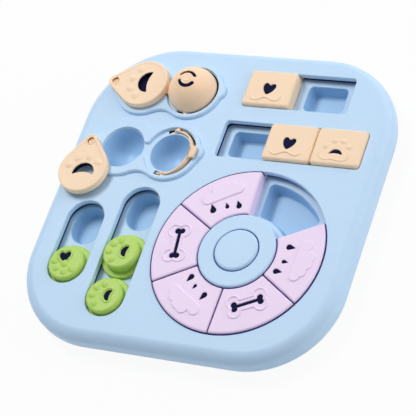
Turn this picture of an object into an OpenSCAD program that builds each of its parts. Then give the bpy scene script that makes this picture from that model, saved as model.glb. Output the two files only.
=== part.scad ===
// Dog puzzle feeder board: sliding blocks, sliding discs, a ring of sliding sectors round a push
// button, two swivel lids and two rolling dome lids over food wells.
// Origin: centre of the base, on the surface it stands on. Millimetres, +Z up.

/* [Board] */
// Side of the square board
board_w = 260; // [256:1:290]
// Height of the closed case without its feet
case_h = 21.5; // [21:0.5:26]
// Radius of the board's corners seen from above
corner_r = 68; // [62:1:72]
// Rounding of the upper edge
top_round = 9; // [5:0.5:10]
// Rounding of the lower edge, which is also the height of the base pan
bottom_round = 8; // [5:0.5:9]
// Wall thickness of the case
skin = 2.4; // [1.8:0.1:3]
// Floor thickness of the base pan
pan_floor = 1.6; // [1.2:0.1:2]
// Height of the locating lip between pan and cover
pan_lip_h = 2; // [1:0.5:3]
// Thickness of that lip
pan_lip_t = 1.2; // [1:0.1:2]

/* [Feet and screws] */
// How far the rubber feet stand below the case
foot_h = 1.5; // [1:0.1:3]
// Diameter of a rubber foot
foot_d = 12; // [8:0.5:16]
// Distance of the feet from the board's middle lines
foot_offset = 84; // [70:1:88]
// How deep a foot sits in the pan
foot_sink = 0.6; // [0.3:0.1:0.9]
// Diameter of a case screw's shank
screw_d = 2.9; // [2.5:0.1:3.5]
// Diameter of a case screw's head
screw_head_d = 5.4; // [4.5:0.1:6]
// Thickness of a screw head
screw_head_h = 1.6; // [1:0.1:2]
// How far a screw bites into its boss
screw_bite = 8; // [5:0.5:9]
// Diameter of the screw bosses
boss_d = 7; // [6:0.1:8]
// Thickness of the pan's pads under the bosses
pad_h = 3.4; // [3:0.1:4.5]

/* [Slider tracks] */
// Thickness of the lips that trap the slider flanges
lip_t = 4.6; // [3.5:0.1:5.5]
// Thickness of the slider flanges
flange_t = 2.8; // [2:0.1:3.5]
// How far a track reaches under its lip
lip_reach = 2.8; // [2:0.1:2.8]
// Wall outside the flange track
track_wall = 1.5; // [1:0.1:1.6]
// Clearance beside a slider
side_gap = 0.3; // [0.2:0.05:0.5]
// Clearance under and over a slider flange
ride_gap = 0.1; // [0.05:0.05:0.3]
// Thickness of the ledge plate of a well tray
ledge_t = 2; // [1.5:0.1:3]
// Thickness of the well walls
well_wall = 1.6; // [1:0.1:2]
// Thickness of the well floors
well_floor = 1.5; // [1:0.1:2]
// Radius of the fillet round a well's floor
well_fillet = 3; // [1.5:0.5:3]
// How far a ledge plate reaches past its track
ledge_margin = 1.3; // [0.8:0.1:1.3]
// Wall thickness of the hollow sliders
slider_wall = 1.8; // [1.4:0.1:2.2]
// Top thickness of the hollow sliders
slider_top = 2.5; // [2.3:0.1:3]

/* [Square slides] */
// Width of the square slots
block_slot_w = 31.7; // [30:0.1:32]
// Length of a block along its slot
block_len = 39.2; // [36:0.1:39.4]
// How far the blocks stand above the board
block_rise = 3; // [1:0.5:5]
// Radius of the blocks' upright corners
block_corner_r = 2.6; // [2.4:0.1:4]
// Rounding of the blocks' upper edges
block_round = 2.2; // [1:0.1:2.4]
// Left end of the upper slot
upper_x = 2.9; // [2:0.1:4]
// Length of the upper slot
upper_len = 86.6; // [84:0.1:90]
// Centre line of the upper slot
upper_y = 96.1; // [94:0.1:97]
// Left end of the lower slot
lower_x = -4.7; // [-5:0.1:-3]
// Length of the lower slot
lower_len = 118.8; // [117:0.1:119.5]
// Centre line of the lower slot
lower_y = 50.3; // [50:0.1:52]
// Corner radius of the square slots
slot_corner_r = 3; // [2:0.1:4]
// Length of a square well
block_well_len = 31.6; // [26:0.1:32]
// Width of a square well
block_well_w = 21.5; // [18:0.1:23]
// Corner radius of a square well
block_well_r = 3.6; // [3.2:0.1:5]
// Distance between the wells of the upper slot
upper_well_pitch = 39.8; // [38:0.1:40]
// Distance between the wells of the lower slot
lower_well_pitch = 36.2; // [35.4:0.1:36.6]
// Last square well's edge from the slot's right end
block_well_margin = 7.6; // [6:0.1:8]

/* [Disc slides] */
// Width of the round-ended slots
disc_slot_w = 32; // [31:0.1:32]
// Centre line of the left round-ended slot
left_x = -92.3; // [-92.5:0.1:-91]
// Upper end of the left round-ended slot
left_top = -16; // [-18:0.1:-15]
// Length of the left round-ended slot
left_len = 71.4; // [70:0.1:72]
// Centre line of the right round-ended slot
right_x = -50.1; // [-51:0.1:-50]
// Upper end of the right round-ended slot
right_top = 0.9; // [-1:0.1:1]
// Length of the right round-ended slot
right_len = 110.8; // [109:0.1:111]
// Diameter of a disc's raised puck
puck_d = 28.6; // [26:0.1:30]
// How far the pucks stand above the board
puck_rise = 3; // [1:0.5:5]
// Rounding of a puck's upper edge
puck_round = 2; // [1:0.1:2.4]
// Width of a round-ended well
disc_well_w = 24.8; // [22:0.1:25]
// Length of a round-ended well
disc_well_len = 33; // [28:0.1:34]
// Distance between round-ended wells
disc_well_pitch = 37.8; // [37.4:0.1:38]
// First round-ended well's edge from its slot's upper end
disc_well_margin = 1.6; // [1:0.1:2]

/* [Ring] */
// Ring centre, across the board
wheel_x = 42.3; // [42:0.1:44]
// Ring centre, up the board
wheel_y = -43.5; // [-44:0.1:-43]
// Radius of the ring's opening in the cover
wheel_r = 68; // [66:0.1:68]
// Number of sector sliders
segment_count = 5; // [5:1:5]
// Angle taken by one sector slider
segment_pitch = 59.3; // [55:0.1:59.5]
// Direction of the first slider's leading side
first_angle = 91.2; // [88:0.1:92]
// Gap between neighbouring sector sliders, in degrees
segment_gap = 0.35; // [0.2:0.05:1]
// How far the sector sliders stand above the board
segment_rise = 1.5; // [0.5:0.1:3]
// Rounding of the sector sliders' curved upper edges
segment_round = 2; // [1:0.1:2.4]
// Outer radius of the sector wells
sector_well_r = 63; // [60:0.1:64]
// Inner radius of the sector wells
sector_well_inner_r = 34.5; // [33:0.1:36]
// Half of the land between two sector wells
sector_land = 4; // [3:0.1:5]
// Corner radius of the sector wells
sector_corner_r = 3; // [1:0.1:4]

/* [Hub] */
// Outer radius of the hub ring
hub_r = 30.2; // [29.8:0.1:30.6]
// How far the hub ring stands above the board
hub_rise = 2.3; // [1.8:0.1:4]
// Rounding of the hub ring's outer edge
hub_round = 1.6; // [0.5:0.1:2]
// Thickness of the hub ring's face
hub_face_t = 2.6; // [2:0.1:3]
// Thickness of the hub ring's outer skirt
hub_skirt = 1.6; // [1:0.1:2.4]
// Outer radius of the hub post
post_r = 26.2; // [25.8:0.1:26.4]
// Inner radius of the hub post
post_inner_r = 19.6; // [19.3:0.1:19.8]
// Radius of the hub screws' circle
hub_screw_r = 22.9; // [22.6:0.1:23.2]
// Number of hub screws
hub_screws_n = 3; // [3:1:4]

/* [Button] */
// Radius of the push button
button_r = 17.1; // [15:0.1:17.4]
// How far the button stands above the hub ring
button_rise = 1.3; // [0.5:0.1:3]
// Rounding of the button's edge
button_round = 2; // [1:0.1:3]
// Travel of the button
button_travel = 3; // [1:0.1:4]
// Clearance round the button
button_gap = 0.3; // [0.2:0.05:0.5]
// Flange that keeps the button in
button_flange = 2; // [1.5:0.1:2.1]
// Thickness of the button's flange
button_flange_t = 2; // [1.5:0.1:2.5]
// Largest radius of the squeaker bellows
bellows_r = 13; // [11:0.1:14]
// Depth of a bellows fold
bellows_fold = 3; // [2:0.1:4]
// Number of bellows folds
bellows_folds = 3; // [2:1:5]
// Wall thickness of the bellows
bellows_wall = 1.2; // [0.8:0.1:1.6]

/* [Bowl rows] */
// Centre line of the upper bowl row
row_1_y = 88.4; // [88:0.1:89]
// Centre line of the lower bowl row
row_2_y = 32.6; // [32:0.1:33]
// Dome bowl centre, across the board
dome_x = -41.2; // [-42:0.1:-41]
// Distance from the dome bowl to the fixed bowl
bowl_pitch = 41.7; // [41.4:0.1:42]
// Distance from the fixed bowl to the swivel lid's pin
pin_pitch = 25.6; // [25:0.1:26]
// Height of the raised rim round the bowls
row_rise = 2.8; // [2:0.1:3]
// Depth of the recess round the dome bowl
recess_d = 2.6; // [2:0.1:2.8]
// Radius of the raised rim round each bowl
row_r = 25; // [24.6:0.1:25.2]
// Radius of the rim's tip beyond the dome bowl
row_tip = 29.5; // [28:0.1:30]
// Radius of the hollow flank between the two bowls
row_neck_r = 17; // [12:0.5:22]
// Radius of the rim round the swivel pin
pin_lobe_r = 6.3; // [5.5:0.1:6.6]
// Step between the rim's outline and the plug below it
plug_step = 1.5; // [1:0.1:1.6]
// Depth of the plug below the board's face
plug_d = 1.8; // [1.5:0.1:2.4]
// Radius of the recess round the dome bowl
recess_r = 22; // [21.8:0.1:22.4]
// Radius of the flare between recess and fixed bowl
recess_flare_r = 3; // [2:0.1:4]
// Radius of the fixed bowl
fixed_bowl_r = 17.4; // [16:0.1:17.6]
// Wall thickness of the bowls
bowl_wall = 1.3; // [1:0.1:1.4]
// Inner radius of the dome bowl
dome_bowl_r = 16.4; // [15.5:0.1:16.5]
// Distance of the row screws from the dome bowl, along the row
row_screw_x = 21; // [20.9:0.1:21.2]
// Distance of the row screws from the row's centre line
row_screw_y = 12.6; // [12.4:0.1:13]
// Diameter of the row screw bosses
row_boss_d = 6; // [5.6:0.1:6.2]

/* [Dome lids] */
// Outer radius of a dome lid
dome_r = 19.6; // [19.4:0.1:19.7]
// Thickness of a dome lid
dome_t = 1.4; // [1:0.1:1.4]
// Slot clearance outside a dome lid
dome_gap = 0.6; // [0.4:0.1:0.7]
// Height of the dome lid's axis above the recess
dome_axis_h = 0.4; // [0.3:0.1:0.6]
// How far a dome lid's leading edge is cut back, in degrees
dome_cut = 8; // [4:1:12]
// How far a dome lid rolls open, in degrees
dome_open = 165; // [150:1:165]
// How far the slot runs past the dome lid's axis, in degrees
slot_past = 24; // [22:1:28]
// Diameter of the dome lid's ears
ear_d = 5; // [4:0.1:5.2]
// Diameter of the dome lid's pivot pins
dome_pin_d = 3; // [2.5:0.1:3]
// Radial clearance of the pins
pin_gap = 0.08; // [0.05:0.01:0.1]
// Reach of the dome lid's finger tab
tab_reach = 1.2; // [0.6:0.1:1.3]
// Width of the finger tab at its root
tab_w = 9; // [6:0.5:12]
// Thickness of the finger tab
tab_t = 1.8; // [1.2:0.1:2.2]
// Radius of the two arc slots in the dome
dome_slot_r = 6.5; // [5:0.1:8]
// Width of the two arc slots in the dome
dome_slot_w = 1.7; // [1:0.1:2.2]

/* [Swivel lids] */
// Radius of a swivel lid's round end
lid_r = 20.6; // [20:0.1:20.7]
// Radius of a swivel lid's tip
lid_tip_r = 6.3; // [6.2:0.1:6.5]
// Thickness of a swivel lid
lid_t = 5.4; // [4:0.1:6.5]
// Rounding of a swivel lid's upper edge
lid_round = 1.5; // [0.8:0.1:2]
// Gap between a swivel lid and the rim below it
lid_lift = 0.3; // [0.2:0.05:0.5]
// How far the second swivel lid stands open, in degrees
lid_2_open = 85; // [60:1:90]
// Diameter of the lid pin's shank
lid_pin_d = 4.4; // [3.6:0.1:4.8]
// Diameter of the lid pin's head
lid_head_d = 7; // [6:0.1:8]
// Thickness of the lid pin's head
lid_head_h = 1.6; // [1.2:0.1:2]
// How far the lid pin's head lies below the lid's face
lid_head_sink = 0.9; // [0.5:0.1:1.2]
// Length of the lid pin below the plug
lid_pin_tail = 3; // [2:0.5:4]
// Diameter of the clip that holds the lid pin from below
lid_clip_d = 7; // [6:0.1:7.4]

/* [Cut-outs] */
// Width of a heart cut-out
heart_w = 10.5; // [8:0.1:12]
// Radius of a crescent cut-out in a swivel lid
crescent_r = 8.8; // [7:0.1:10]
// Length of a bone cut-out
bone_l = 21; // [16:0.1:24]
// Width of a bone's shaft
bone_w = 3.4; // [2.5:0.1:4.5]
// Radius of a bone's knobs
bone_knob_r = 2.7; // [2.2:0.1:3.2]
// Radius of a large drop cut-out
drop_r = 2.7; // [2:0.1:3]
// Radius of a small drop cut-out
small_drop_r = 1.9; // [1.2:0.1:2.2]
// Radius at which the ring's cut-outs lie
motif_r = 40.5; // [39:0.1:44]
// Height of the raised toes
toe_h = 0.5; // [0.3:0.1:0.8]
// Radius of a raised toe
toe_r = 2.6; // [2:0.1:3]

/* [Hidden] */
$fn = 48;

blue = [0.71, 0.86, 0.97];
peach = [0.99, 0.87, 0.75];
green = [0.74, 0.88, 0.45];
lilac = [0.92, 0.84, 0.95];
rubber = [0.55, 0.57, 0.60];
steel = [0.75, 0.76, 0.78];

// How far a cutting solid runs past the face it cuts
over = 1;
// How far a straight flank starts inside the circle it leaves, as a share of its radius
tuck = 0.997;
// Heights
top_z = foot_h + case_h;
part_z = foot_h + bottom_round;
pan_z = foot_h + pan_floor;
pad_z = pan_z + pad_h;
lip_z = top_z - lip_t;
flange_z = lip_z - ride_gap - flange_t;
ledge_z = flange_z - ride_gap;
well_z = pan_z + well_floor;
ledge_low_z = ledge_z - ledge_t;
recess_z = top_z + row_rise - recess_d;
plug_z = top_z - plug_d;
dome_z = recess_z + dome_axis_h;
rim_z = top_z + row_rise;
lid_z = rim_z + lid_lift;
hub_z = top_z + hub_rise;
button_z = hub_z + button_rise;
// Slider widths
block_w = block_slot_w - 2 * side_gap;
flange_reach = lip_reach - side_gap;
disc_flange_r = disc_slot_w / 2 + flange_reach;
block_step = block_len + side_gap;
disc_step = 2 * disc_flange_r + side_gap;
track_reach = lip_reach + track_wall;
ledge_reach = lip_reach + ledge_margin;
// Slot ends
upper_end = upper_x + upper_len;
lower_end = lower_x + lower_len;
left_low = left_top - left_len;
right_low = right_top - right_len;
disc_end = disc_slot_w / 2;
// Dome slot
slot_in_r = dome_bowl_r + bowl_wall;
slot_out_r = dome_r + dome_gap;
plug_r = row_r - plug_step;
// The cover's flat face and the pan's flat floor end a little inside the rounded edges
deck_z = top_z - skin;
deck_w = board_w - 2 * top_round - 2;
deck_r = corner_r - top_round - 1;
// Lines that part the cover's face: beside the rows, under them, beside the discs, over the ring
share_x = (dome_x + row_tip + lower_x) / 2;
share_y = (row_2_y - row_r + right_top) / 2;
disc_share_x = (right_x + disc_slot_w / 2 + wheel_x - wheel_r) / 2;
ring_share_y = (wheel_y + wheel_r + lower_y - block_slot_w / 2) / 2;
floor_w = board_w - 2 * bottom_round - 2;
floor_r = corner_r - bottom_round - 1;
row_ys = [row_1_y, row_2_y];
// Screw places clear of every track and bowl: beside the wall, under the flat face, in the rows
half = board_w / 2;
rim_spots = [[half - 10, 8], [-14, 12 - half], [9 - half, -10], [9 - half, 61], [-40, half - 11]];
flat_spots = [[upper_x + upper_len + 11.5, upper_y + 1.9], [half - 29, 29 - half],
              [40 - half, 22 - half], [-11, (row_2_y + right_top) / 2 + 2.25], [-9, upper_y - 20.1]];
row_spots = [for (y = row_ys, side = [-1, 1]) [dome_x - row_screw_x, y + side * row_screw_y]];

// ---------- profiles and outlines ----------

// Half section from a centre line out to r, with a rounded upper and lower outer edge
module edge_profile(r, h, top = 0, low = 0) {
    difference() {
        square([r, h]);
        if (top > 0)
            translate([r - top, h - top]) difference() {
                square(top + over);
                circle(top);
            }
        if (low > 0)
            translate([r - low, low]) mirror([0, 1]) difference() {
                square(low + over);
                circle(low);
            }
    }
}

// Block with upright corners of radius r and rounded upper and lower edges
module soft_block(w, d, h, r, top = 0, low = 0) {
    for (k = [0:3]) {
        across = (k % 2 == 0) ? w : d;
        along = (k % 2 == 0) ? d : w;
        rotate(90 * k) {
            translate([across / 2 - r, along / 2 - r, 0])
                rotate_extrude(angle = 90) edge_profile(r, h, top, low);
            if (along > 2 * r + 0.01)
                translate([across / 2 - r, along / 2 - r, 0]) rotate([90, 0, 0])
                    linear_extrude(along - 2 * r) edge_profile(r, h, top, low);
        }
    }
    if (w > 2 * r + 0.01 && d > 2 * r + 0.01)
        translate([r - w / 2, r - d / 2, 0]) cube([w - 2 * r, d - 2 * r, h]);
}

module soft_rect(w, d, r) {
    square([w - 2 * r, d], center = true);
    square([w, d - 2 * r], center = true);
    for (x = [-1, 1], y = [-1, 1]) translate([x * (w / 2 - r), y * (d / 2 - r)]) circle(r);
}

module slot_outline(w, d) {
    square([w, d - w], center = true);
    for (y = [-1, 1]) translate([0, y * (d - w) / 2]) circle(w / 2);
}

// Sides of a sector whose two flanks lie a distance inset inside the radii
module wedge(from, sweep, inset, reach) {
    middle = from + sweep / 2;
    shift = inset / sin(sweep / 2);
    far = reach / cos(sweep / 2) + shift;
    tip = [shift * cos(middle), shift * sin(middle)];
    polygon([tip,
             tip + far * [cos(from), sin(from)],
             tip + far * [cos(from + sweep), sin(from + sweep)]]);
}

module ring_sector(inner, outer, from, sweep, inset) {
    intersection() {
        difference() {
            circle(outer);
            circle(inner);
        }
        wedge(from, sweep, inset, outer);
    }
}

// Crescent with its round side towards -X
module crescent(r) {
    difference() {
        circle(r);
        translate([0.74 * r, 0]) circle(1.08 * r);
    }
}

// Two circles joined along their common tangents
module tangent_fill(r1, r2, length) {
    turn = acos((r1 - r2) / length);
    near = r1 * tuck;
    far = r2 * tuck;
    polygon([[0, 0],
             near * [cos(turn), sin(turn)],
             [length, 0] + far * [cos(turn), sin(turn)],
             [length, 0] + far * [cos(turn), -sin(turn)],
             near * [cos(turn), -sin(turn)]]);
}

// Two circles joined by a waist with hollow flanks of radius flank
module waist_outline(r1, r2, pitch, flank) {
    a = r1 + flank;
    b = r2 + flank;
    x = (a * a - b * b + pitch * pitch) / (2 * pitch);
    y = sqrt(a * a - x * x);
    circle(r1);
    translate([-pitch, 0]) circle(r2);
    difference() {
        polygon([[0, 0], [-x, y], [-pitch, 0], [-x, -y]]);
        for (side = [-1, 1]) translate([-x, side * y]) circle(flank);
    }
}

module heart(w) {
    lobe = w * 0.28;
    drop = w * 0.78;
    spread = w / 2 - lobe;
    for (side = [-1, 1]) translate([side * spread, 0]) circle(lobe);
    polygon([[-spread - lobe * 0.78, -lobe * 0.62], [0, -drop], [spread + lobe * 0.78, -lobe * 0.62],
             [spread, 0], [0, lobe * 0.55], [-spread, 0]]);
}

module bone(l, w, knob) {
    square([l - 2 * knob, w], center = true);
    for (x = [-1, 1], y = [-1, 1]) translate([x * (l / 2 - knob), y * knob * 0.8]) circle(knob);
}

module drop_shape(r) {
    length = 2.4 * r;
    turn = acos(r / length);
    circle(r);
    polygon([[0, 0], r * [cos(turn), sin(turn)], [length, 0], r * [cos(turn), -sin(turn)]]);
}

module toes(spread, from, sweep) {
    for (k = [0:3]) {
        a = from + sweep * k / 3;
        translate([spread * cos(a), spread * sin(a), 0])
            cylinder(h = toe_h, r1 = toe_r, r2 = toe_r - toe_h);
    }
}

// ---------- case ----------

// Outline of an opening, grown by grow: 0 upper, 1 lower, 2 left, 3 right slot, 4 ring
module slot(k, grow) {
    if (k == 0)
        translate([upper_x + upper_len / 2, upper_y])
            soft_rect(upper_len + 2 * grow, block_slot_w + 2 * grow, slot_corner_r + grow);
    if (k == 1)
        translate([lower_x + lower_len / 2, lower_y])
            soft_rect(lower_len + 2 * grow, block_slot_w + 2 * grow, slot_corner_r + grow);
    if (k == 2)
        translate([left_x, left_top - left_len / 2])
            slot_outline(disc_slot_w + 2 * grow, left_len + 2 * grow);
    if (k == 3)
        translate([right_x, right_top - right_len / 2])
            slot_outline(disc_slot_w + 2 * grow, right_len + 2 * grow);
    if (k == 4)
        translate([wheel_x, wheel_y]) circle(wheel_r + grow);
}

// Outline of a bowl row; its origin is the dome bowl's centre
module row_outline(inset) {
    turn = acos(row_r / row_tip);
    r = row_r - inset;
    waist_outline(r, r, bowl_pitch, row_neck_r + inset);
    translate([-bowl_pitch, 0]) mirror([1, 0]) {
        tangent_fill(r, pin_lobe_r - inset, pin_pitch);
        translate([pin_pitch, 0]) circle(pin_lobe_r - inset);
    }
    polygon([[0, 0], r * tuck * [cos(turn), sin(turn)], [row_tip - inset / cos(turn), 0],
             r * tuck * [cos(turn), -sin(turn)]]);
}

// Flat face of the cover, with an opening for every slot, the ring and both bowl rows
module deck() {
    difference() {
        translate([0, 0, deck_z]) linear_extrude(skin) soft_rect(deck_w, deck_w, deck_r);
        for (k = [0:4]) translate([0, 0, deck_z - over]) linear_extrude(skin + 2 * over)
            slot(k, 0);
        for (y = row_ys) translate([dome_x, y, deck_z - over]) linear_extrude(skin + 2 * over)
            row_outline(plug_step - side_gap / 2);
    }
}

// Part of the cover from corner a to corner b, seen from above
module cover_share(a, b) {
    color(blue) intersection() {
        deck();
        translate([a.x, a.y, deck_z - over]) cube([b.x - a.x, b.y - a.y, skin + 2 * over]);
    }
}

module cover_over_rows() {
    cover_share([-board_w, share_y], [share_x, board_w]);
}

module cover_over_blocks() {
    cover_share([share_x, ring_share_y], [board_w, board_w]);
}

module cover_over_discs() {
    cover_share([-board_w, -board_w], [disc_share_x, share_y]);
}

module cover_over_ring() {
    color(blue) intersection() {
        deck();
        translate([0, 0, deck_z - over]) linear_extrude(skin + 2 * over)
            polygon([[disc_share_x, -board_w], [board_w, -board_w], [board_w, ring_share_y],
                     [share_x, ring_share_y], [share_x, share_y], [disc_share_x, share_y]]);
    }
}

// Hole for a screw's shank in a post
module post_hole(spot) {
    translate([spot.x, spot.y, pad_z - over])
        cylinder(h = screw_bite + 2 * over, d = screw_d + 0.1);
}

// Rounded edge and side of the cover, with the posts that stand against it
module wall_ring() {
    inner = board_w - 2 * skin;
    difference() {
        union() {
            difference() {
                translate([0, 0, part_z])
                    soft_block(board_w, board_w, top_z - part_z, corner_r, top_round);
                translate([0, 0, part_z - over])
                    soft_block(inner, inner, top_z - skin - part_z + over, corner_r - skin,
                               top_round - skin);
            }
            for (spot = rim_spots) translate([spot.x, spot.y, pad_z])
                cylinder(h = top_z - skin * 0.75 - pad_z, d = boss_d);
        }
        translate([0, 0, deck_z - 0.3]) linear_extrude(skin + over)
            soft_rect(deck_w, deck_w, deck_r);
        for (y = row_ys) translate([dome_x, y, deck_z - over]) linear_extrude(skin + 2 * over)
            row_outline(plug_step - side_gap / 2);
        for (spot = rim_spots) post_hole(spot);
    }
}

module cover_wall(x) {
    color(blue) intersection() {
        wall_ring();
        translate([x, -board_w, 0]) cube([board_w, 2 * board_w, 2 * top_z]);
    }
}

module cover_wall_left() {
    cover_wall(-board_w);
}

module cover_wall_right() {
    cover_wall(0);
}

module cover_posts() {
    color(blue) for (spot = flat_spots) difference() {
        translate([spot.x, spot.y, pad_z]) cylinder(h = deck_z - pad_z, d = boss_d);
        post_hole(spot);
    }
}

// Frame under an opening: its lip traps the slider flanges
module collar(k) {
    color(blue) difference() {
        translate([0, 0, ledge_z]) linear_extrude(deck_z - ledge_z) slot(k, track_reach);
        translate([0, 0, ledge_z - over]) linear_extrude(lip_z - ledge_z + over)
            slot(k, lip_reach);
        translate([0, 0, lip_z - over]) linear_extrude(lip_t + 2 * over) slot(k, 0);
        if (k == 3)
            translate([0, 0, ledge_z - over]) linear_extrude(case_h) slot(4, track_reach);
    }
}

// Ring inside the case wall, a distance inset from it
module lip_outline(inset) {
    w = board_w - 2 * skin;
    difference() {
        soft_rect(w - 2 * inset, w - 2 * inset, corner_r - skin - inset);
        soft_rect(w - 2 * pan_lip_t, w - 2 * pan_lip_t, corner_r - skin - pan_lip_t);
    }
}

// Holes for a case screw: shank and counterbore
module pan_hole(spot) {
    translate([spot.x, spot.y, foot_h - over]) {
        cylinder(h = pad_z, d = screw_d + 0.4);
        cylinder(h = pad_h + over, d = screw_head_d + 0.4);
    }
}

// Pad that carries a post
module pad(spot) {
    translate([spot.x, spot.y, pan_z]) cylinder(h = pad_z - pan_z, d = boss_d + 2);
}

// Flat floor of the case
module base_pan() {
    color(blue) difference() {
        translate([0, 0, foot_h]) linear_extrude(pan_floor) soft_rect(floor_w, floor_w, floor_r);
        for (spot = concat(rim_spots, flat_spots, row_spots)) pan_hole(spot);
        for (x = [-1, 1], y = [-1, 1])
            translate([x * foot_offset, y * foot_offset, foot_h - over])
                cylinder(h = foot_sink + over, d = foot_d + 0.2);
    }
}

// Rounded edge of the pan, with its locating lip and the pads against it
module pan_wall() {
    inner = board_w - 2 * skin;
    color(blue) difference() {
        union() {
            difference() {
                translate([0, 0, foot_h])
                    soft_block(board_w, board_w, bottom_round, corner_r, 0, bottom_round);
                translate([0, 0, pan_z])
                    soft_block(inner, inner, bottom_round, corner_r - skin, 0,
                               bottom_round - skin);
                translate([0, 0, foot_h - over]) linear_extrude(pan_floor + 2 * over)
                    soft_rect(floor_w, floor_w, floor_r);
            }
            translate([0, 0, part_z - pan_lip_h]) linear_extrude(2 * pan_lip_h)
                lip_outline(side_gap / 2);
            translate([0, 0, part_z - pan_lip_h]) linear_extrude(pan_lip_h - 0.1)
                lip_outline(-side_gap);
            for (spot = rim_spots) pad(spot);
        }
        for (spot = rim_spots) pan_hole(spot);
    }
}

module pan_pads() {
    color(blue) for (spot = concat(flat_spots, row_spots)) difference() {
        pad(spot);
        pan_hole(spot);
    }
}

module rubber_feet() {
    color(rubber) for (x = [-1, 1], y = [-1, 1])
        translate([x * foot_offset, y * foot_offset, 0])
            rotate_extrude() edge_profile(foot_d / 2, foot_h + foot_sink, 0, foot_h / 2);
}

module case_screws() {
    color(steel) for (spot = concat(rim_spots, flat_spots, row_spots))
        translate([spot.x, spot.y, foot_h + pad_h]) {
            translate([0, 0, -screw_head_h]) cylinder(h = screw_head_h, d = screw_head_d);
            cylinder(h = pan_floor + screw_bite, d = screw_d);
        }
}

// ---------- well trays ----------

// Ledge plate of a square slot, with a hole over every cup
module block_ledge(k, from, length, y, pitch, count) {
    last = from + length - block_well_margin - block_well_len / 2;
    color(blue) translate([0, 0, ledge_low_z]) difference() {
        linear_extrude(ledge_t) slot(k, ledge_reach);
        for (n = [0:count - 1]) translate([last - n * pitch, y, -over])
            linear_extrude(ledge_t + 2 * over)
                soft_rect(block_well_len, block_well_w, block_well_r);
    }
}

// Food cup with upright corners of radius r, hung under a ledge plate
module soft_cup(x, y, w, d, r) {
    color(blue) difference() {
        translate([x, y, pan_z])
            soft_block(w + 2 * well_wall, d + 2 * well_wall, ledge_low_z - pan_z,
                       r + well_wall, 0, well_fillet);
        translate([x, y, well_z])
            soft_block(w, d, ledge_z - well_z, r, 0, well_fillet);
    }
}

module square_cup(from, length, y, pitch, n) {
    soft_cup(from + length - block_well_margin - block_well_len / 2 - n * pitch, y,
             block_well_len, block_well_w, block_well_r);
}

module upper_cup(n) {
    square_cup(upper_x, upper_len, upper_y, upper_well_pitch, n);
}

module lower_cup(n) {
    square_cup(lower_x, lower_len, lower_y, lower_well_pitch, n);
}

module round_cup(x, top, n) {
    soft_cup(x, top - disc_well_margin - disc_well_len / 2 - n * disc_well_pitch,
             disc_well_w, disc_well_len, disc_well_w / 2);
}

module upper_block_ledge() {
    block_ledge(0, upper_x, upper_len, upper_y, upper_well_pitch, 2);
}

module lower_block_ledge() {
    block_ledge(1, lower_x, lower_len, lower_y, lower_well_pitch, 3);
}

// Ledge plate of a round-ended slot
module disc_ledge(k, x, top, count) {
    first = top - disc_well_margin - disc_well_len / 2;
    color(blue) translate([0, 0, ledge_low_z]) difference() {
        linear_extrude(ledge_t) slot(k, ledge_reach);
        for (n = [0:count - 1]) translate([x, first - n * disc_well_pitch, -over])
            linear_extrude(ledge_t + 2 * over) slot_outline(disc_well_w, disc_well_len);
    }
}

module left_disc_ledge() {
    disc_ledge(2, left_x, left_top, 2);
}

module right_disc_ledge() {
    disc_ledge(3, right_x, right_top, 3);
}

module sector_well(grow) {
    offset(r = sector_corner_r, $fn = 24) offset(delta = -sector_corner_r)
        ring_sector(sector_well_inner_r - grow, sector_well_r + grow, 30, 60,
                    sector_land - grow);
}

// Ledge plate of the ring, round the hub post
module ring_ledge() {
    color(blue) translate([wheel_x, wheel_y, ledge_low_z]) difference() {
        cylinder(h = ledge_t, r = wheel_r + ledge_reach);
        for (k = [0:5]) rotate(60 * k) translate([0, 0, -over])
            linear_extrude(ledge_t + 2 * over) sector_well(0);
        translate([0, 0, -over]) cylinder(h = ledge_t + 2 * over, r = post_r);
    }
}

// Post that carries the hub ring and guides the push button's bellows
module hub_post() {
    hub_bore = screw_d + 0.2;
    color(blue) translate([wheel_x, wheel_y, 0]) difference() {
        translate([0, 0, pan_z]) cylinder(h = lip_z - pan_z, r = post_r);
        translate([0, 0, well_z]) cylinder(h = case_h, r = post_inner_r);
        for (k = [0:hub_screws_n - 1]) rotate(360 / hub_screws_n * k)
            translate([hub_screw_r, 0, 0]) {
                cylinder(h = top_z, d = hub_bore);
                cylinder(h = ledge_z - ledge_t, d = hub_bore + 1.9);
            }
    }
}

module sector_cup(k) {
    color(blue) translate([wheel_x, wheel_y, 0]) rotate(60 * k) difference() {
        translate([0, 0, pan_z]) linear_extrude(ledge_low_z - pan_z) sector_well(well_wall);
        translate([0, 0, well_z]) linear_extrude(ledge_z - well_z) sector_well(0);
    }
}

// ---------- sliders ----------

module slider_block(x, y) {
    low = flange_z;
    height = top_z + block_rise - low;
    inner_l = block_len - 2 * slider_wall;
    inner_w = block_w - 2 * slider_wall;
    translate([x, y, low]) difference() {
        union() {
            soft_block(block_len, block_w, height, block_corner_r, block_round);
            linear_extrude(flange_t)
                soft_rect(block_len, block_w + 2 * flange_reach, block_corner_r);
        }
        translate([0, 0, -over])
            soft_block(inner_l, inner_w, height - slider_top + over, block_corner_r, 1);
        translate([0, 0, height - slider_top - over]) linear_extrude(slider_top + 2 * over)
            children();
    }
}

module block_1() {
    color(peach) slider_block(upper_x + side_gap + block_len / 2, upper_y) block_heart();
}

module block_2() {
    color(peach) slider_block(lower_end - side_gap - block_len / 2 - block_step, lower_y)
        block_heart();
}

module block_3() {
    color(peach) slider_block(lower_end - side_gap - block_len / 2, lower_y)
        translate([-1, -7.5]) rotate(-90) crescent(crescent_r * 0.55);
}

module block_heart() {
    translate([-1.5, 3]) heart(heart_w);
}

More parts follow.
